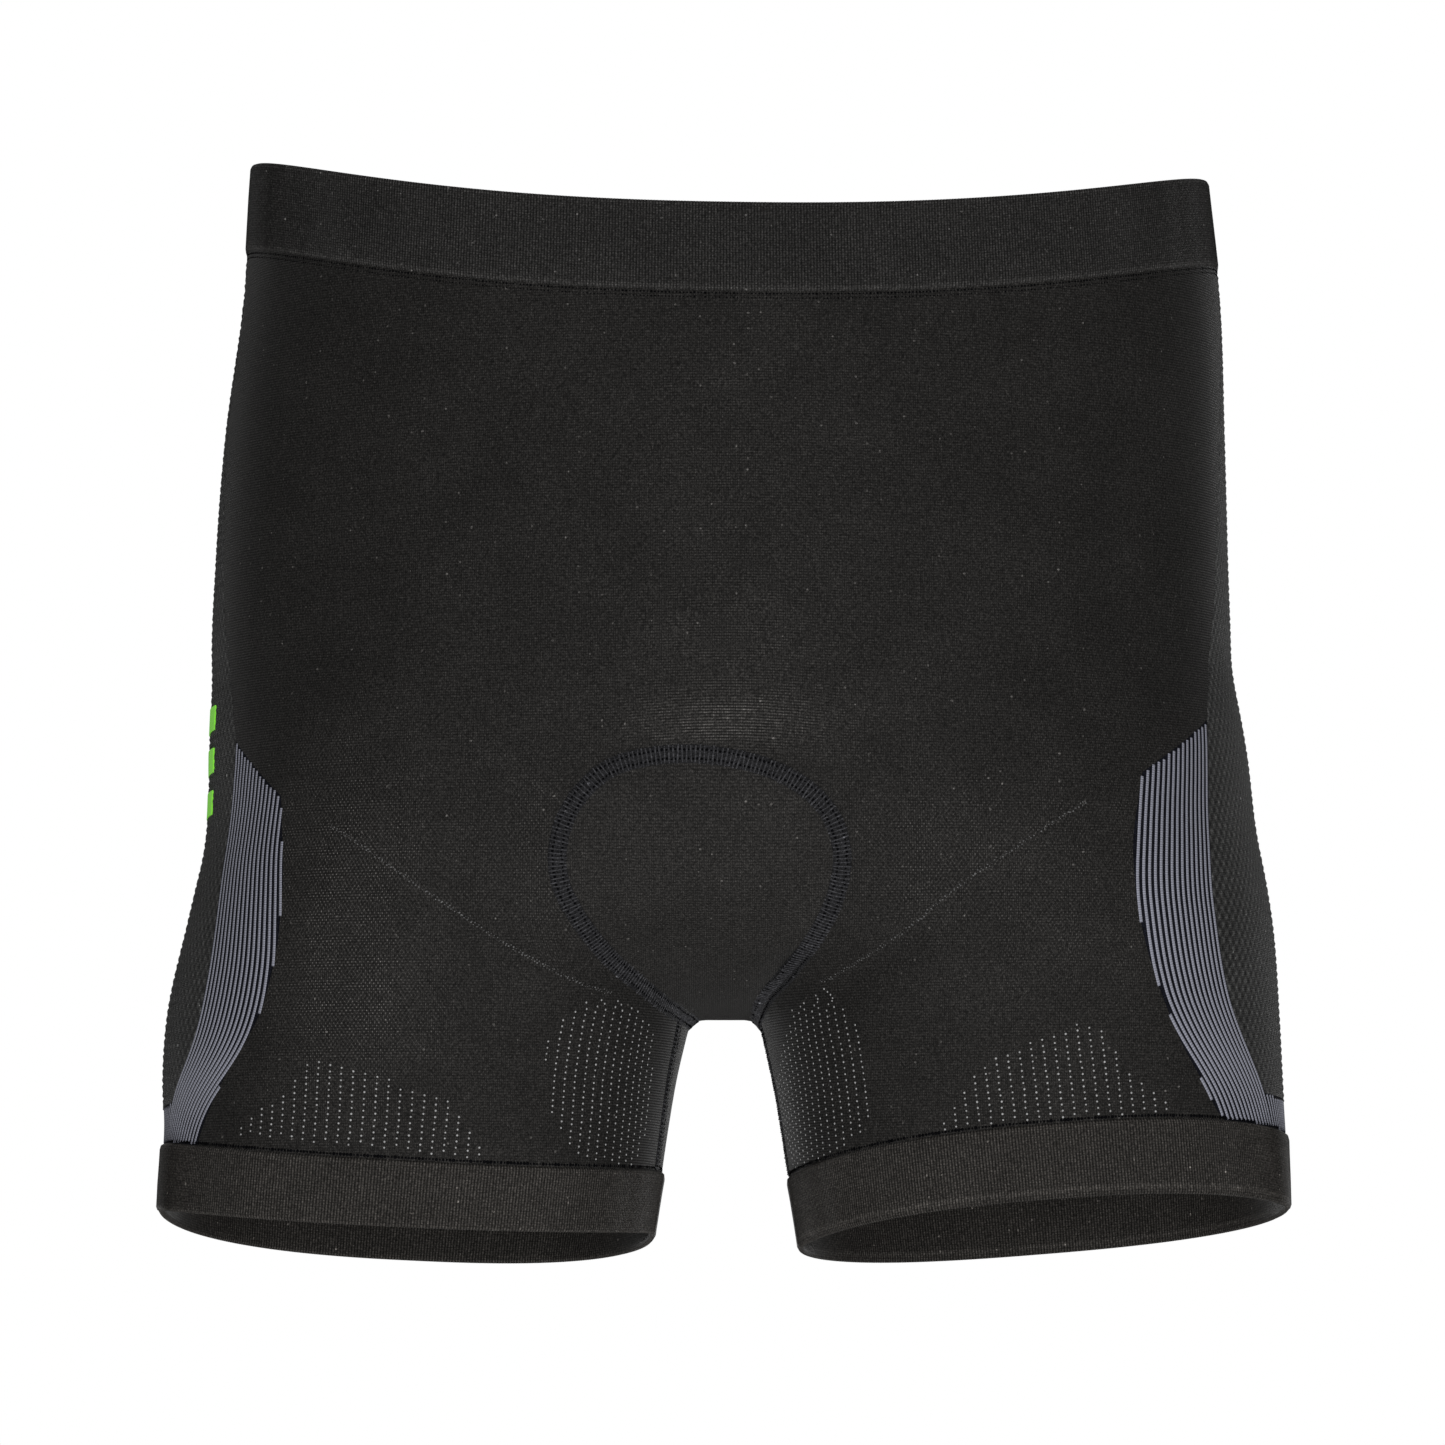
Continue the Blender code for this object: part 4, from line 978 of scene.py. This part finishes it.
dimple, enter = new_growth("flat_dots", Radius=0.35 * MM, Depth=0.12 * MM)
ball = add_node(dimple, "GeometryNodeMeshUVSphere", {"Segments": 7, "Rings": 4, "Radius": enter["Radius"]})
squat = add_node(dimple, "ShaderNodeCombineXYZ", {
    "X": 1.0, "Y": 1.0, "Z": sums(dimple, "DIVIDE", enter["Depth"], enter["Radius"])})
flatter = add_node(dimple, "GeometryNodeTransform", {"Geometry": ball.outputs[0], "Scale": squat.outputs[0]})
turn = add_node(dimple, "FunctionNodeAlignRotationToVector", {
    "Vector": stored(dimple, "out", "FLOAT_VECTOR")}, axis="Z")
lay_at_stations(dimple, enter, flatter, turn)


def even_steps(rail, count, closed):
    """Points at even steps along a rail."""
    rail = np.vstack([rail, rail[:1]]) if closed else rail
    run = run_along(rail)
    at = (np.arange(count) + 0.5) / count * run[-1]
    return np.stack([np.interp(at, run, part) for part in rail.T], -1)


def lay_dots(name, spots, lift, sizes, finish, radius, depth):
    """Lay a flattened dot at each spot, at a height above the plain cloth."""
    normal = form_normal(spots)
    dots = stations(name, spots + normal * (lift + drape(spots)[:, None]), out=normal, size=sizes)
    grow(dots, dimple, finish, Radius=radius * MM, Depth=depth * MM)
    fix(dots)


def sew(name, rail_a, rail_b, closed):
    """Lay the rungs and the needle holes of one flat seam, the holes as near-black dots of painted shade."""
    middle = (rail_a + rail_b) / 2
    count = round(run_along(middle)[-1] / RUNG_PITCH)
    spot = settle(even_steps(middle, count, closed))
    normal = form_normal(spot)
    along = np.roll(spot, -1, axis=0) - np.roll(spot, 1, axis=0) if closed else np.gradient(spot, axis=0)
    across = unit(np.cross(normal, along))
    chance = np.random.default_rng(7)
    lift = SEAM_HIGH + drape(spot)[:, None] - RUNG_SUNK
    rungs = stations(name + "_threads", spot + normal * lift, out=normal,
                     across=across + chance.normal(0, 0.07, across.shape),
                     size=chance.uniform(0.88, 1.08, count))
    grow(rungs, ladder, thread)
    fix(rungs)
    between = (spot + np.roll(spot, -1, axis=0)) / 2
    holes = [between + across * (way * HOLE_OFF + chance.normal(0, 0.12, (count, 1))) for way in (-1, 1)]
    holes = settle(np.vstack(holes if closed else [row[:-1] for row in holes]))
    lay_dots(name + "_holes", holes, SEAM_HIGH, chance.uniform(0.75, 1.2, len(holes)), hole_shade, 0.4, 0.2)


gusset_seam = loft("gusset_flat_seam", GUSSET_OUTER, GUSSET_INNER, SEAM_ROWS, tape, raised=SEAM_SWELL,
                   closed=True)
fix(gusset_seam, "gusset_seam")
sew("gusset_seam", GUSSET_OUTER, GUSSET_INNER, True)
for side in SIDE:
    seams = SEAMS[side]
    inseam = loft("inseam_flat_seam_" + side, seams["inseam_front"], seams["inseam_back"], SEAM_ROWS, tape,
                  raised=SEAM_SWELL)
    fix(inseam, "inseam_" + side)
    sew("inseam_" + side, seams["inseam_front"], seams["inseam_back"], False)


# Ribbed side stripes
# A blue-grey crescent down the outer front of each thigh, knitted in plush ribs 2.3 mm apart on a dark
# ground. The ribs run with its outer edge, end in small steps at its inner edge, and go on round the leg in a
# low strip.
ground = knit("rib_ground", (0.0075, 0.008, 0.0125), specks=0, sheen=0.02)
plush = knit("blue_grey_rib", (0.3, 0.307, 0.365), wale=0.9, course=0.75, stitch=0.3, grain=0.3, mottle=0.1,
             specks=0.05, bump=0.5, sheen=0.3)
RIB_PITCH = 2.27
RIB_SUNK = 0.02
RIB_NUMBERS = range(-90, 18)
RIB_FADE = 9
RIB_CHART = 0.9
RIB_CLEAR = 0.1
SOFTEN = 12
RIB_FOOT = {"right": ((-184.2, -319), (-185.4, -332)), "left": ((181, -317), (182.8, -331))}

cords, enter = new_growth("plush_ribs", Width=1.14 * MM, Height=0.18 * MM)
line = add_node(cords, "GeometryNodeMeshToCurve", {"Mesh": enter["Geometry"]})
faced = add_node(cords, "GeometryNodeSetCurveNormal", {
    "Curve": line.outputs[0], "Normal": stored(cords, "out", "FLOAT_VECTOR")}, mode="FREE")
ring = add_node(cords, "GeometryNodeCurvePrimitiveCircle", {"Resolution": 10, "Radius": 1.0})
oval = add_node(cords, "ShaderNodeCombineXYZ", {"X": enter["Height"], "Y": sums(
    cords, "MULTIPLY", enter["Width"], 0.5), "Z": 1.0})
ring = add_node(cords, "GeometryNodeTransform", {"Geometry": ring.outputs[0], "Scale": oval.outputs[0]})
swept = add_node(cords, "GeometryNodeCurveToMesh", {
    "Curve": faced.outputs[0], "Profile Curve": ring.outputs[0], "Fill Caps": True})
smooth = add_node(cords, "GeometryNodeSetShadeSmooth", {0: swept.outputs[0]})
chart = add_node(cords, "ShaderNodeCombineXYZ", {"X": stored(cords, "rib"), "Y": stored(cords, "along")})
mapped = add_node(cords, "GeometryNodeStoreNamedAttribute", {
    "Geometry": smooth.outputs[0], "Name": "flat", "Value": chart.outputs[0]},
    data_type="FLOAT2", domain="CORNER")
end_growth(cords, enter, mapped.outputs[0])


def rib_lines(side):
    """The centre lines of one side's ribs: short ones round the strip, then long ones down the crescent."""
    seams = SEAMS[side]
    to_flat, to_form = one_half(side)
    region = to_flat(chain(seams["crescent_inner"], seams["strip_low"], seams["strip_end"][::-1],
                           seams["strip_top"][::-1], seams["crescent_outer"][::-1], seams["crescent_top"]))
    guide = curve(seen(*CRESCENT_OUTER[side], *RIB_FOOT[side]), 1.0)
    guide = guide[np.argsort(guide[:, 2])]
    z = np.arange(guide[0, 2], guide[-1, 2], 1.0)
    first = np.interp(z, guide[:, 2], to_flat(guide)[:, 0])
    first = np.convolve(np.pad(first, SOFTEN, mode="reflect", reflect_type="odd"),
                        np.hanning(2 * SOFTEN + 3)[1:-1] / (SOFTEN + 1), "valid")
    foot = np.interp(CUFF_LEVEL, z, first)
    lines = []
    for k in RIB_NUMBERS:
        slant = (first - foot) * (math.exp(k / RIB_FADE) if k < 0 else 1.0)
        row = to_form(np.stack([foot + slant - (k + 0.5) * RIB_PITCH, z], -1))
        within = inside(to_flat(row), region, RIB_CLEAR)
        for part in np.split(np.arange(len(row)), np.nonzero(np.diff(within.astype(int)))[0] + 1):
            if within[part[0]] and len(part) > 2:
                lines.append(row[part])
    return lines


for side in SIDE:
    seams = SEAMS[side]
    stripe = loft("crescent_ground_" + side, seams["crescent_inner"], seams["crescent_outer"],
                  np.linspace(0, 1, 17), ground)
    strip = loft("strip_ground_" + side, seams["strip_low"], seams["strip_top"], np.linspace(0, 1, 6), ground)
    points, edges, along, number = [], [], [], []
    for k, line in enumerate(rib_lines(side)):
        start = len(points)
        points += list(line)
        edges += [(start + i, start + i + 1) for i in range(len(line) - 1)]
        along += list(np.arange(len(line)) * MM)
        number += [k * RIB_CHART * MM] * len(line)
    points = np.array(points)
    lift = drape(points)[:, None] - RIB_SUNK
    normal = form_normal(points)
    ribs = stations("plush_ribs_" + side, points + normal * lift, edges, along=along, rib=number, out=normal)
    grow(ribs, cords, plush)
    fix(ribs)
    lay_cloth(stripe, "rib_panel_" + side)
    lay_cloth(strip, "hem_strip_" + side)


# Side mesh
# An open mesh knit from the waistband to the hem at each side, embossed with staggered oval blisters in cells
# 4 mm wide and 5 mm high. The ground between them is sunk, and painted shade darkens it.
BLISTER_WIDE = 4.0 * MM
BLISTER_HIGH = 5.0 * MM
HOLLOW_SHADE = 0.55
MESH_STEP = 1.15


def swings(tree, place, pitch):
    """A wave from -1 to 1 along a place, with the given pitch."""
    return sums(tree, "COSINE", sums(tree, "MULTIPLY", sums(tree, "DIVIDE", place, pitch), 2 * math.pi))


def painted_hollow_shade(tree, across, up, place, tone):
    """Painted shade darkens the hollows between the blisters, and a painted highlight lightens the blisters a
    little.
    """
    cells = sums(tree, "MULTIPLY", swings(tree, across, BLISTER_WIDE), swings(tree, up, BLISTER_HIGH))
    return sums(tree, "MULTIPLY_ADD", cells, HOLLOW_SHADE, tone)


def push_out(tree, enter, swell):
    """Push a piece's outer skin out by a swelling times the tree's height, and end the tree."""
    much = sums(tree, "MULTIPLY", swell, sums(tree, "MULTIPLY", stored(tree, "skin"), enter["Height"]))
    push = add_node(tree, "ShaderNodeVectorMath", {0: stored(tree, "out", "FLOAT_VECTOR"), "Scale": much},
                    operation="SCALE")
    moved = add_node(tree, "GeometryNodeSetPosition", {
        "Geometry": enter["Geometry"], "Offset": push.outputs[0]})
    end_growth(tree, enter, moved.outputs[0])


# Its colour carries painted shade in the hollows and painted highlight on the blisters.
mesh_knit = knit("black_mesh_knit", (0.042, 0.042, 0.041), wale=0.6, course=0.6, extra=painted_hollow_shade)

blisters, enter = new_growth("blisters", Wide=BLISTER_WIDE, High=BLISTER_HIGH, Height=0.5 * MM)
place = add_node(blisters, "ShaderNodeSeparateXYZ", {0: stored(blisters, "cell", "FLOAT_VECTOR")})
cells = sums(blisters, "MULTIPLY", swings(blisters, place.outputs["X"], enter["Wide"]),
             swings(blisters, place.outputs["Y"], enter["High"]))
push_out(blisters, enter, sums(blisters, "MAXIMUM", cells, 0.0))

for side in SIDE:
    seams = SEAMS[side]
    flat_and_form = one_half(side)
    mesh_side = panel("side_mesh_cloth_" + side, chain(
        seams["band_side"], seams["mesh_back"], seams["strip_top"][::-1], seams["crescent_outer"][::-1],
        seams["mesh_front"][::-1]), flat_and_form, MESH_STEP, mesh_knit, lambda points: {
            "cell": np.column_stack([flat_and_form[0](points) * MM, np.zeros(len(points))])})
    grow(mesh_side, blisters, mesh_knit)
    lay_cloth(mesh_side, "side_mesh_" + side)


# Side bars
# Three plain green bars, one above another, are printed at the front of the right side mesh, in a thin matt
# film of fluorescent ink, whose glow is painted as an emission. Only their front ends show from straight
# ahead.
GREEN = (0.24, 0.78, 0.06)
film = knit("green_film", GREEN, stitch=0.1, grain=0.3, mottle=0.1, specks=0, bump=0.15)
film_finish = film.node_tree.nodes["Principled BSDF"]
# Painted glow: an emission that stands in for the ink's fluorescence, the same under any lamp.
film_finish.inputs["Emission Color"].default_value = (*GREEN, 1)
film_finish.inputs["Emission Strength"].default_value = 0.4
BAR_LINES = (-0.13, 0.0)
BAR_HEIGHTS = (-178, -192, -206)
BAR_HIGH = 8
for number, z in enumerate(BAR_HEIGHTS):
    line = np.linspace(*BAR_LINES, 24)
    bar = loft(f"green_bar_{number + 1}", on_form("right", line, z), on_form("right", line, z - BAR_HIGH),
               np.linspace(0, 1, 9), film, raised=0.55, depth=0.3)
    fix(bar)


# Waistband
# A fine rib knit, folded double over elastic, 29 mm deep all round, that dips at the front. Its lower edge is
# joined to the jersey with a close row of small stitches, drawn as two rows of near-black dots of painted
# shade.
# Where a band's and a cuff's edges are painted lighter as highlights, in millimetres from the join.
BAND_EDGES = (0.7, 28.4)
CUFF_EDGES = (0.9, 21.6)


def painted_edge_highlights(low, high):
    """Lightens a folded band just inside its seam and at its fold, as painted highlights."""
    def lighten(tree, across, up, place, tone):
        for at, wide, much in ((low, 1.3, 0.2), (high, 1.1, 0.25)):
            away = sums(tree, "DIVIDE", sums(tree, "SUBTRACT", up, at * MM), wide * MM)
            edge_highlight = sums(tree, "SUBTRACT", 1.0, sums(tree, "MULTIPLY", away, away), clamp=True)
            tone = sums(tree, "MULTIPLY_ADD", edge_highlight, much, tone)
        return tone
    return lighten


# Its stitch wave, in step with the fine ribs' relief, darkens the gaps between the ribs as painted shade and
# lightens the ribs as painted highlight.
band_finish = knit("black_band_rib", (0.0228, 0.022, 0.0213), wale=1.0, course=0.8, stitch=0.9, cross=0.5,
                   extra=painted_edge_highlights(*BAND_EDGES))
RIB_COLUMN = 0.33

relief, enter = new_growth("fine_ribs", Pitch=1.0 * MM, Height=0.16 * MM)
push_out(relief, enter, swings(relief, stored(relief, "run"), enter["Pitch"]))


def ring_lines(side, height_at):
    """Line numbers of one half at even steps along an edge, close enough to shape its ribs."""
    line = np.linspace(-1, 1, 400)
    run = run_along(on_form(side, line, height_at(side, line)))
    return np.interp(np.linspace(0, run[-1], round(run[-1] / RIB_COLUMN) + 1), run, line)


def stitch_row(name, rail, drop, step, size):
    """A close row of small needle holes just outside a seam, drawn as near-black dots of painted shade."""
    count = round(np.linalg.norm(rail - np.roll(rail, -1, axis=0), axis=1).sum() / step)
    spots = settle(even_steps(rail, count, True) + np.array((0, 0, drop)))
    sizes = np.random.default_rng(11).uniform(0.6, 1.25, len(spots))
    lay_dots(name, spots, 0.02, sizes, hole_shade, size, 0.1)


low, top = [], []
for side, order in (("right", slice(None)), ("left", slice(-2, 0, -1))):
    line = ring_lines(side, band_height)[order]
    low.append(on_form(side, line, band_height(side, line)))
    top.append(on_form(side, line, waist_height(side, line)))
low, top = np.vstack(low), np.vstack(top)
band = loft("waistband_rib", low, top, (0, 0.02, 0.06, 0.3, 0.65, 0.9, 0.96, 0.99, 1), band_finish,
            raised=np.array((0.0, 0.45, 0.66, 0.6, 0.6, 0.7, 0.75, 0.4, -0.3)),
            depth=np.array((1.2, 1.6, 1.6, 1.6, 1.6, 1.6, 1.5, 1.2, 0.6)), closed=True)
grow(band, relief, band_finish)
lay_cloth(band, "waistband")
stitch_row("waistband_needle_holes", low, -0.9, 1.15, 0.35)
stitch_row("waistband_stitches", low, -2.3, 1.15, 0.27)


# Cuffs
# The same kind of rib knit, folded double, closes each leg with a band about 23 mm deep. The join above it is
# sunk, with the same close row of near-black dots painted as the shade in its stitches, and the fold at the
# hem and the edge by the join are painted lighter as highlights.
# Its stitch wave, in step with the fine ribs' relief, darkens the gaps between the ribs as painted shade and
# lightens the ribs as painted highlight.
cuff_finish = knit("black_cuff_rib", (0.0236, 0.0218, 0.02), wale=1.0, course=0.8, stitch=1.1, cross=0.3,
                   extra=painted_edge_highlights(*CUFF_EDGES))
for side in SIDE:
    line = ring_lines(side, cuff_height)[:-1]
    upper = on_form(side, line, cuff_height(side, line))
    hem = on_form(side, line, cuff_height(side, line, hem=True))
    cuff = loft("cuff_rib_" + side, upper, hem, (0, 0.03, 0.09, 0.3, 0.6, 0.86, 0.94, 0.985, 1), cuff_finish,
                raised=np.array((-0.2, 0.8, 1.1, 1, 1, 1.05, 1.1, 0.7, -0.1)),
                depth=np.array((1.2, 1.2, 1.2, 1.2, 1.2, 1.2, 1.2, 0.9, 0.4)), closed=True)
    grow(cuff, relief, cuff_finish)
    lay_cloth(cuff, "cuff_" + side)
    # Near-black dots just above the cuff paint the shade of its sunk join.
    stitch_row("cuff_needle_holes_" + side, upper, 0.8, 1.1, 0.52)


# Light stitches
# Two fields of light tuck stitches are knitted into the front of each thigh, in staggered columns, and a thin
# broken light line marks where the knit changes over each thigh.
light_yarn = knit("light_yarn", (0.4, 0.4, 0.4), stitch=0.1, grain=0.8, mottle=0.2, specks=0)
faint_yarn = knit("faint_yarn", (0.14, 0.14, 0.14), stitch=0.1, grain=1.5, mottle=0.4, specks=0)
DOT_COLUMN = 3.4
DOT_ROW = 1.96
DOTS_LOWEST = -338
CUFF_CLEAR = 1.2
SLANT_STEP = 0.62
SLANT_WIDE = 0.35
DOT_FIELDS = {
    # corners of each field, across and up in the front elevation
    "right": (
        ((-163, -317.5), (-152, -308.5), (-145, -303), (-141, -298), (-137.5, -293), (-130.5, -293.5),
         (-122.5, -296.5), (-111, -299.5), (-100.5, -303), (-90.5, -306), (-86.5, -313.5), (-80, -321),
         (-78, -326)),
        ((-59.5, -292), (-57.5, -284), (-51, -277), (-42.5, -272), (-30, -274), (-23.5, -284), (-24, -300),
         (-26, -318), (-30, -328), (-49, -325), (-58.5, -309)),
    ),
    "left": (
        ((22, -276), (32.5, -269), (39, -275.5), (42.5, -280), (47, -288), (48, -300), (48, -310.5),
         (46, -315.5), (40.5, -321), (37, -327.5), (23, -330), (20, -318), (17, -300)),
        ((68, -320), (84, -295), (91, -291), (98.5, -288), (106, -285), (118, -280.5), (122, -281),
         (125.5, -284.5), (129, -290), (132, -295.5), (136.5, -299.5), (141, -302.5), (147, -308.5),
         (150, -312)),
    ),
}


def shown_at(points):
    """Where points of the form stand in the front elevation."""
    reach = (points - EYE) @ VIEW_WAY
    across = VIEW_AIM[0] + (points - EYE)[:, 0] * VIEW_REACH / reach
    up = VIEW_AIM[2] + (points - EYE) @ VIEW_UP * VIEW_REACH / reach
    return np.stack([across, up], -1)


def field_dots(side, corners):
    """The dots of one field, in staggered columns that follow the knit."""
    number, height = np.meshgrid(np.arange(-75, -5), np.arange(0, 44))
    line = number * DOT_COLUMN / LEG_WIDE
    z = DOTS_LOWEST + height * DOT_ROW + (number % 2) * DOT_ROW / 2
    line, z = line.ravel(), z.ravel()
    clear = z > cuff_height(side, line) + CUFF_CLEAR
    spots = on_form(side, line[clear], z[clear])
    return spots[inside(shown_at(spots), np.array(corners, float), 0.0) & (spots[:, 1] < 0)]


for side in SIDE:
    dots = np.vstack([field_dots(side, corners) for corners in DOT_FIELDS[side]])
    chance = np.random.default_rng(21)
    dots = settle(dots + chance.normal(0, 0.06, dots.shape))
    lay_dots("light_dots_" + side, dots, 0.03, chance.uniform(0.88, 1.1, len(dots)), light_yarn, 0.36, 0.13)

    rail = SEAMS[side]["diagonal"][8:-6]
    spots = even_steps(rail, round(run_along(rail)[-1] / SLANT_STEP), False)
    shift = np.where(np.arange(len(spots)) % 2, SLANT_WIDE, -SLANT_WIDE)[:, None] * np.array((0, 0, 1.0))
    spots = settle(spots + shift + chance.normal(0, 0.15, spots.shape))
    lay_dots("slant_stitches_" + side, spots, 0.02, chance.uniform(0.3, 1.1, len(spots)), faint_yarn, 0.28,
             0.1)


# Floor, light and camera
# A plain pale floor far below the hanging garment, soft studio light from the front, and the photograph's
# long-lens view from a little below the middle.
bpy.ops.mesh.primitive_plane_add(size=30, location=(0, 0, -2.2))
floor = bpy.context.object
floor.name = "studio_floor"
pale = bpy.data.materials.new("pale_floor")
pale.use_nodes = True
pale_finish = pale.node_tree.nodes["Principled BSDF"]
pale_finish.inputs["Base Color"].default_value = (0.8, 0.8, 0.79, 1)
pale_finish.inputs["Roughness"].default_value = 0.8
floor.data.materials.append(pale)

world = bpy.data.worlds.new("studio")
world.use_nodes = True
sky = world.node_tree
seen_white = add_node(sky, "ShaderNodeBackground", {"Color": (1, 1, 1, 1), "Strength": 1.0})
shed = add_node(sky, "ShaderNodeBackground", {"Color": (1, 1, 1, 1), "Strength": 0.16})
ray = add_node(sky, "ShaderNodeLightPath")
both = add_node(sky, "ShaderNodeMixShader", {0: ray.outputs["Is Camera Ray"], 1: shed.outputs[0],
                                             2: seen_white.outputs[0]})
sky.links.new(both.outputs[0], sky.nodes["World Output"].inputs["Surface"])
bpy.context.scene.world = world


def soft_light(name, place, aim, wide, high, power):
    lamp = bpy.data.lights.new(name, "AREA")
    lamp.shape = "RECTANGLE"
    lamp.size, lamp.size_y = wide, high
    lamp.energy = power
    made = bpy.data.objects.new(name, lamp)
    bpy.context.scene.collection.objects.link(made)
    made.location = place
    made.rotation_euler = (Vector(aim) - Vector(place)).to_track_quat("-Z", "Y").to_euler()


soft_light("front_softbox", (0.28, -2.4, -0.06), (0, 0, -0.2), 1.0, 0.8, 17.5)
soft_light("low_softbox", (0.05, -1.3, -1.3), (0, 0, -0.25), 0.5, 0.3, 11.5)
soft_light("back_softbox", (0, 2.4, 0.4), (0, 0, -0.2), 1.0, 0.8, 12)

lens = bpy.data.cameras.new("studio_camera")
lens.lens = 226.5
lens.sensor_width = 36
lens.clip_end = 50
camera = bpy.data.objects.new("studio_camera", lens)
camera.location = EYE * MM
camera.rotation_euler = (math.radians(90) + VIEW_RISE, 0, 0)
bpy.context.scene.collection.objects.link(camera)
bpy.context.scene.camera = camera
bpy.context.scene.view_settings.view_transform = "Standard"
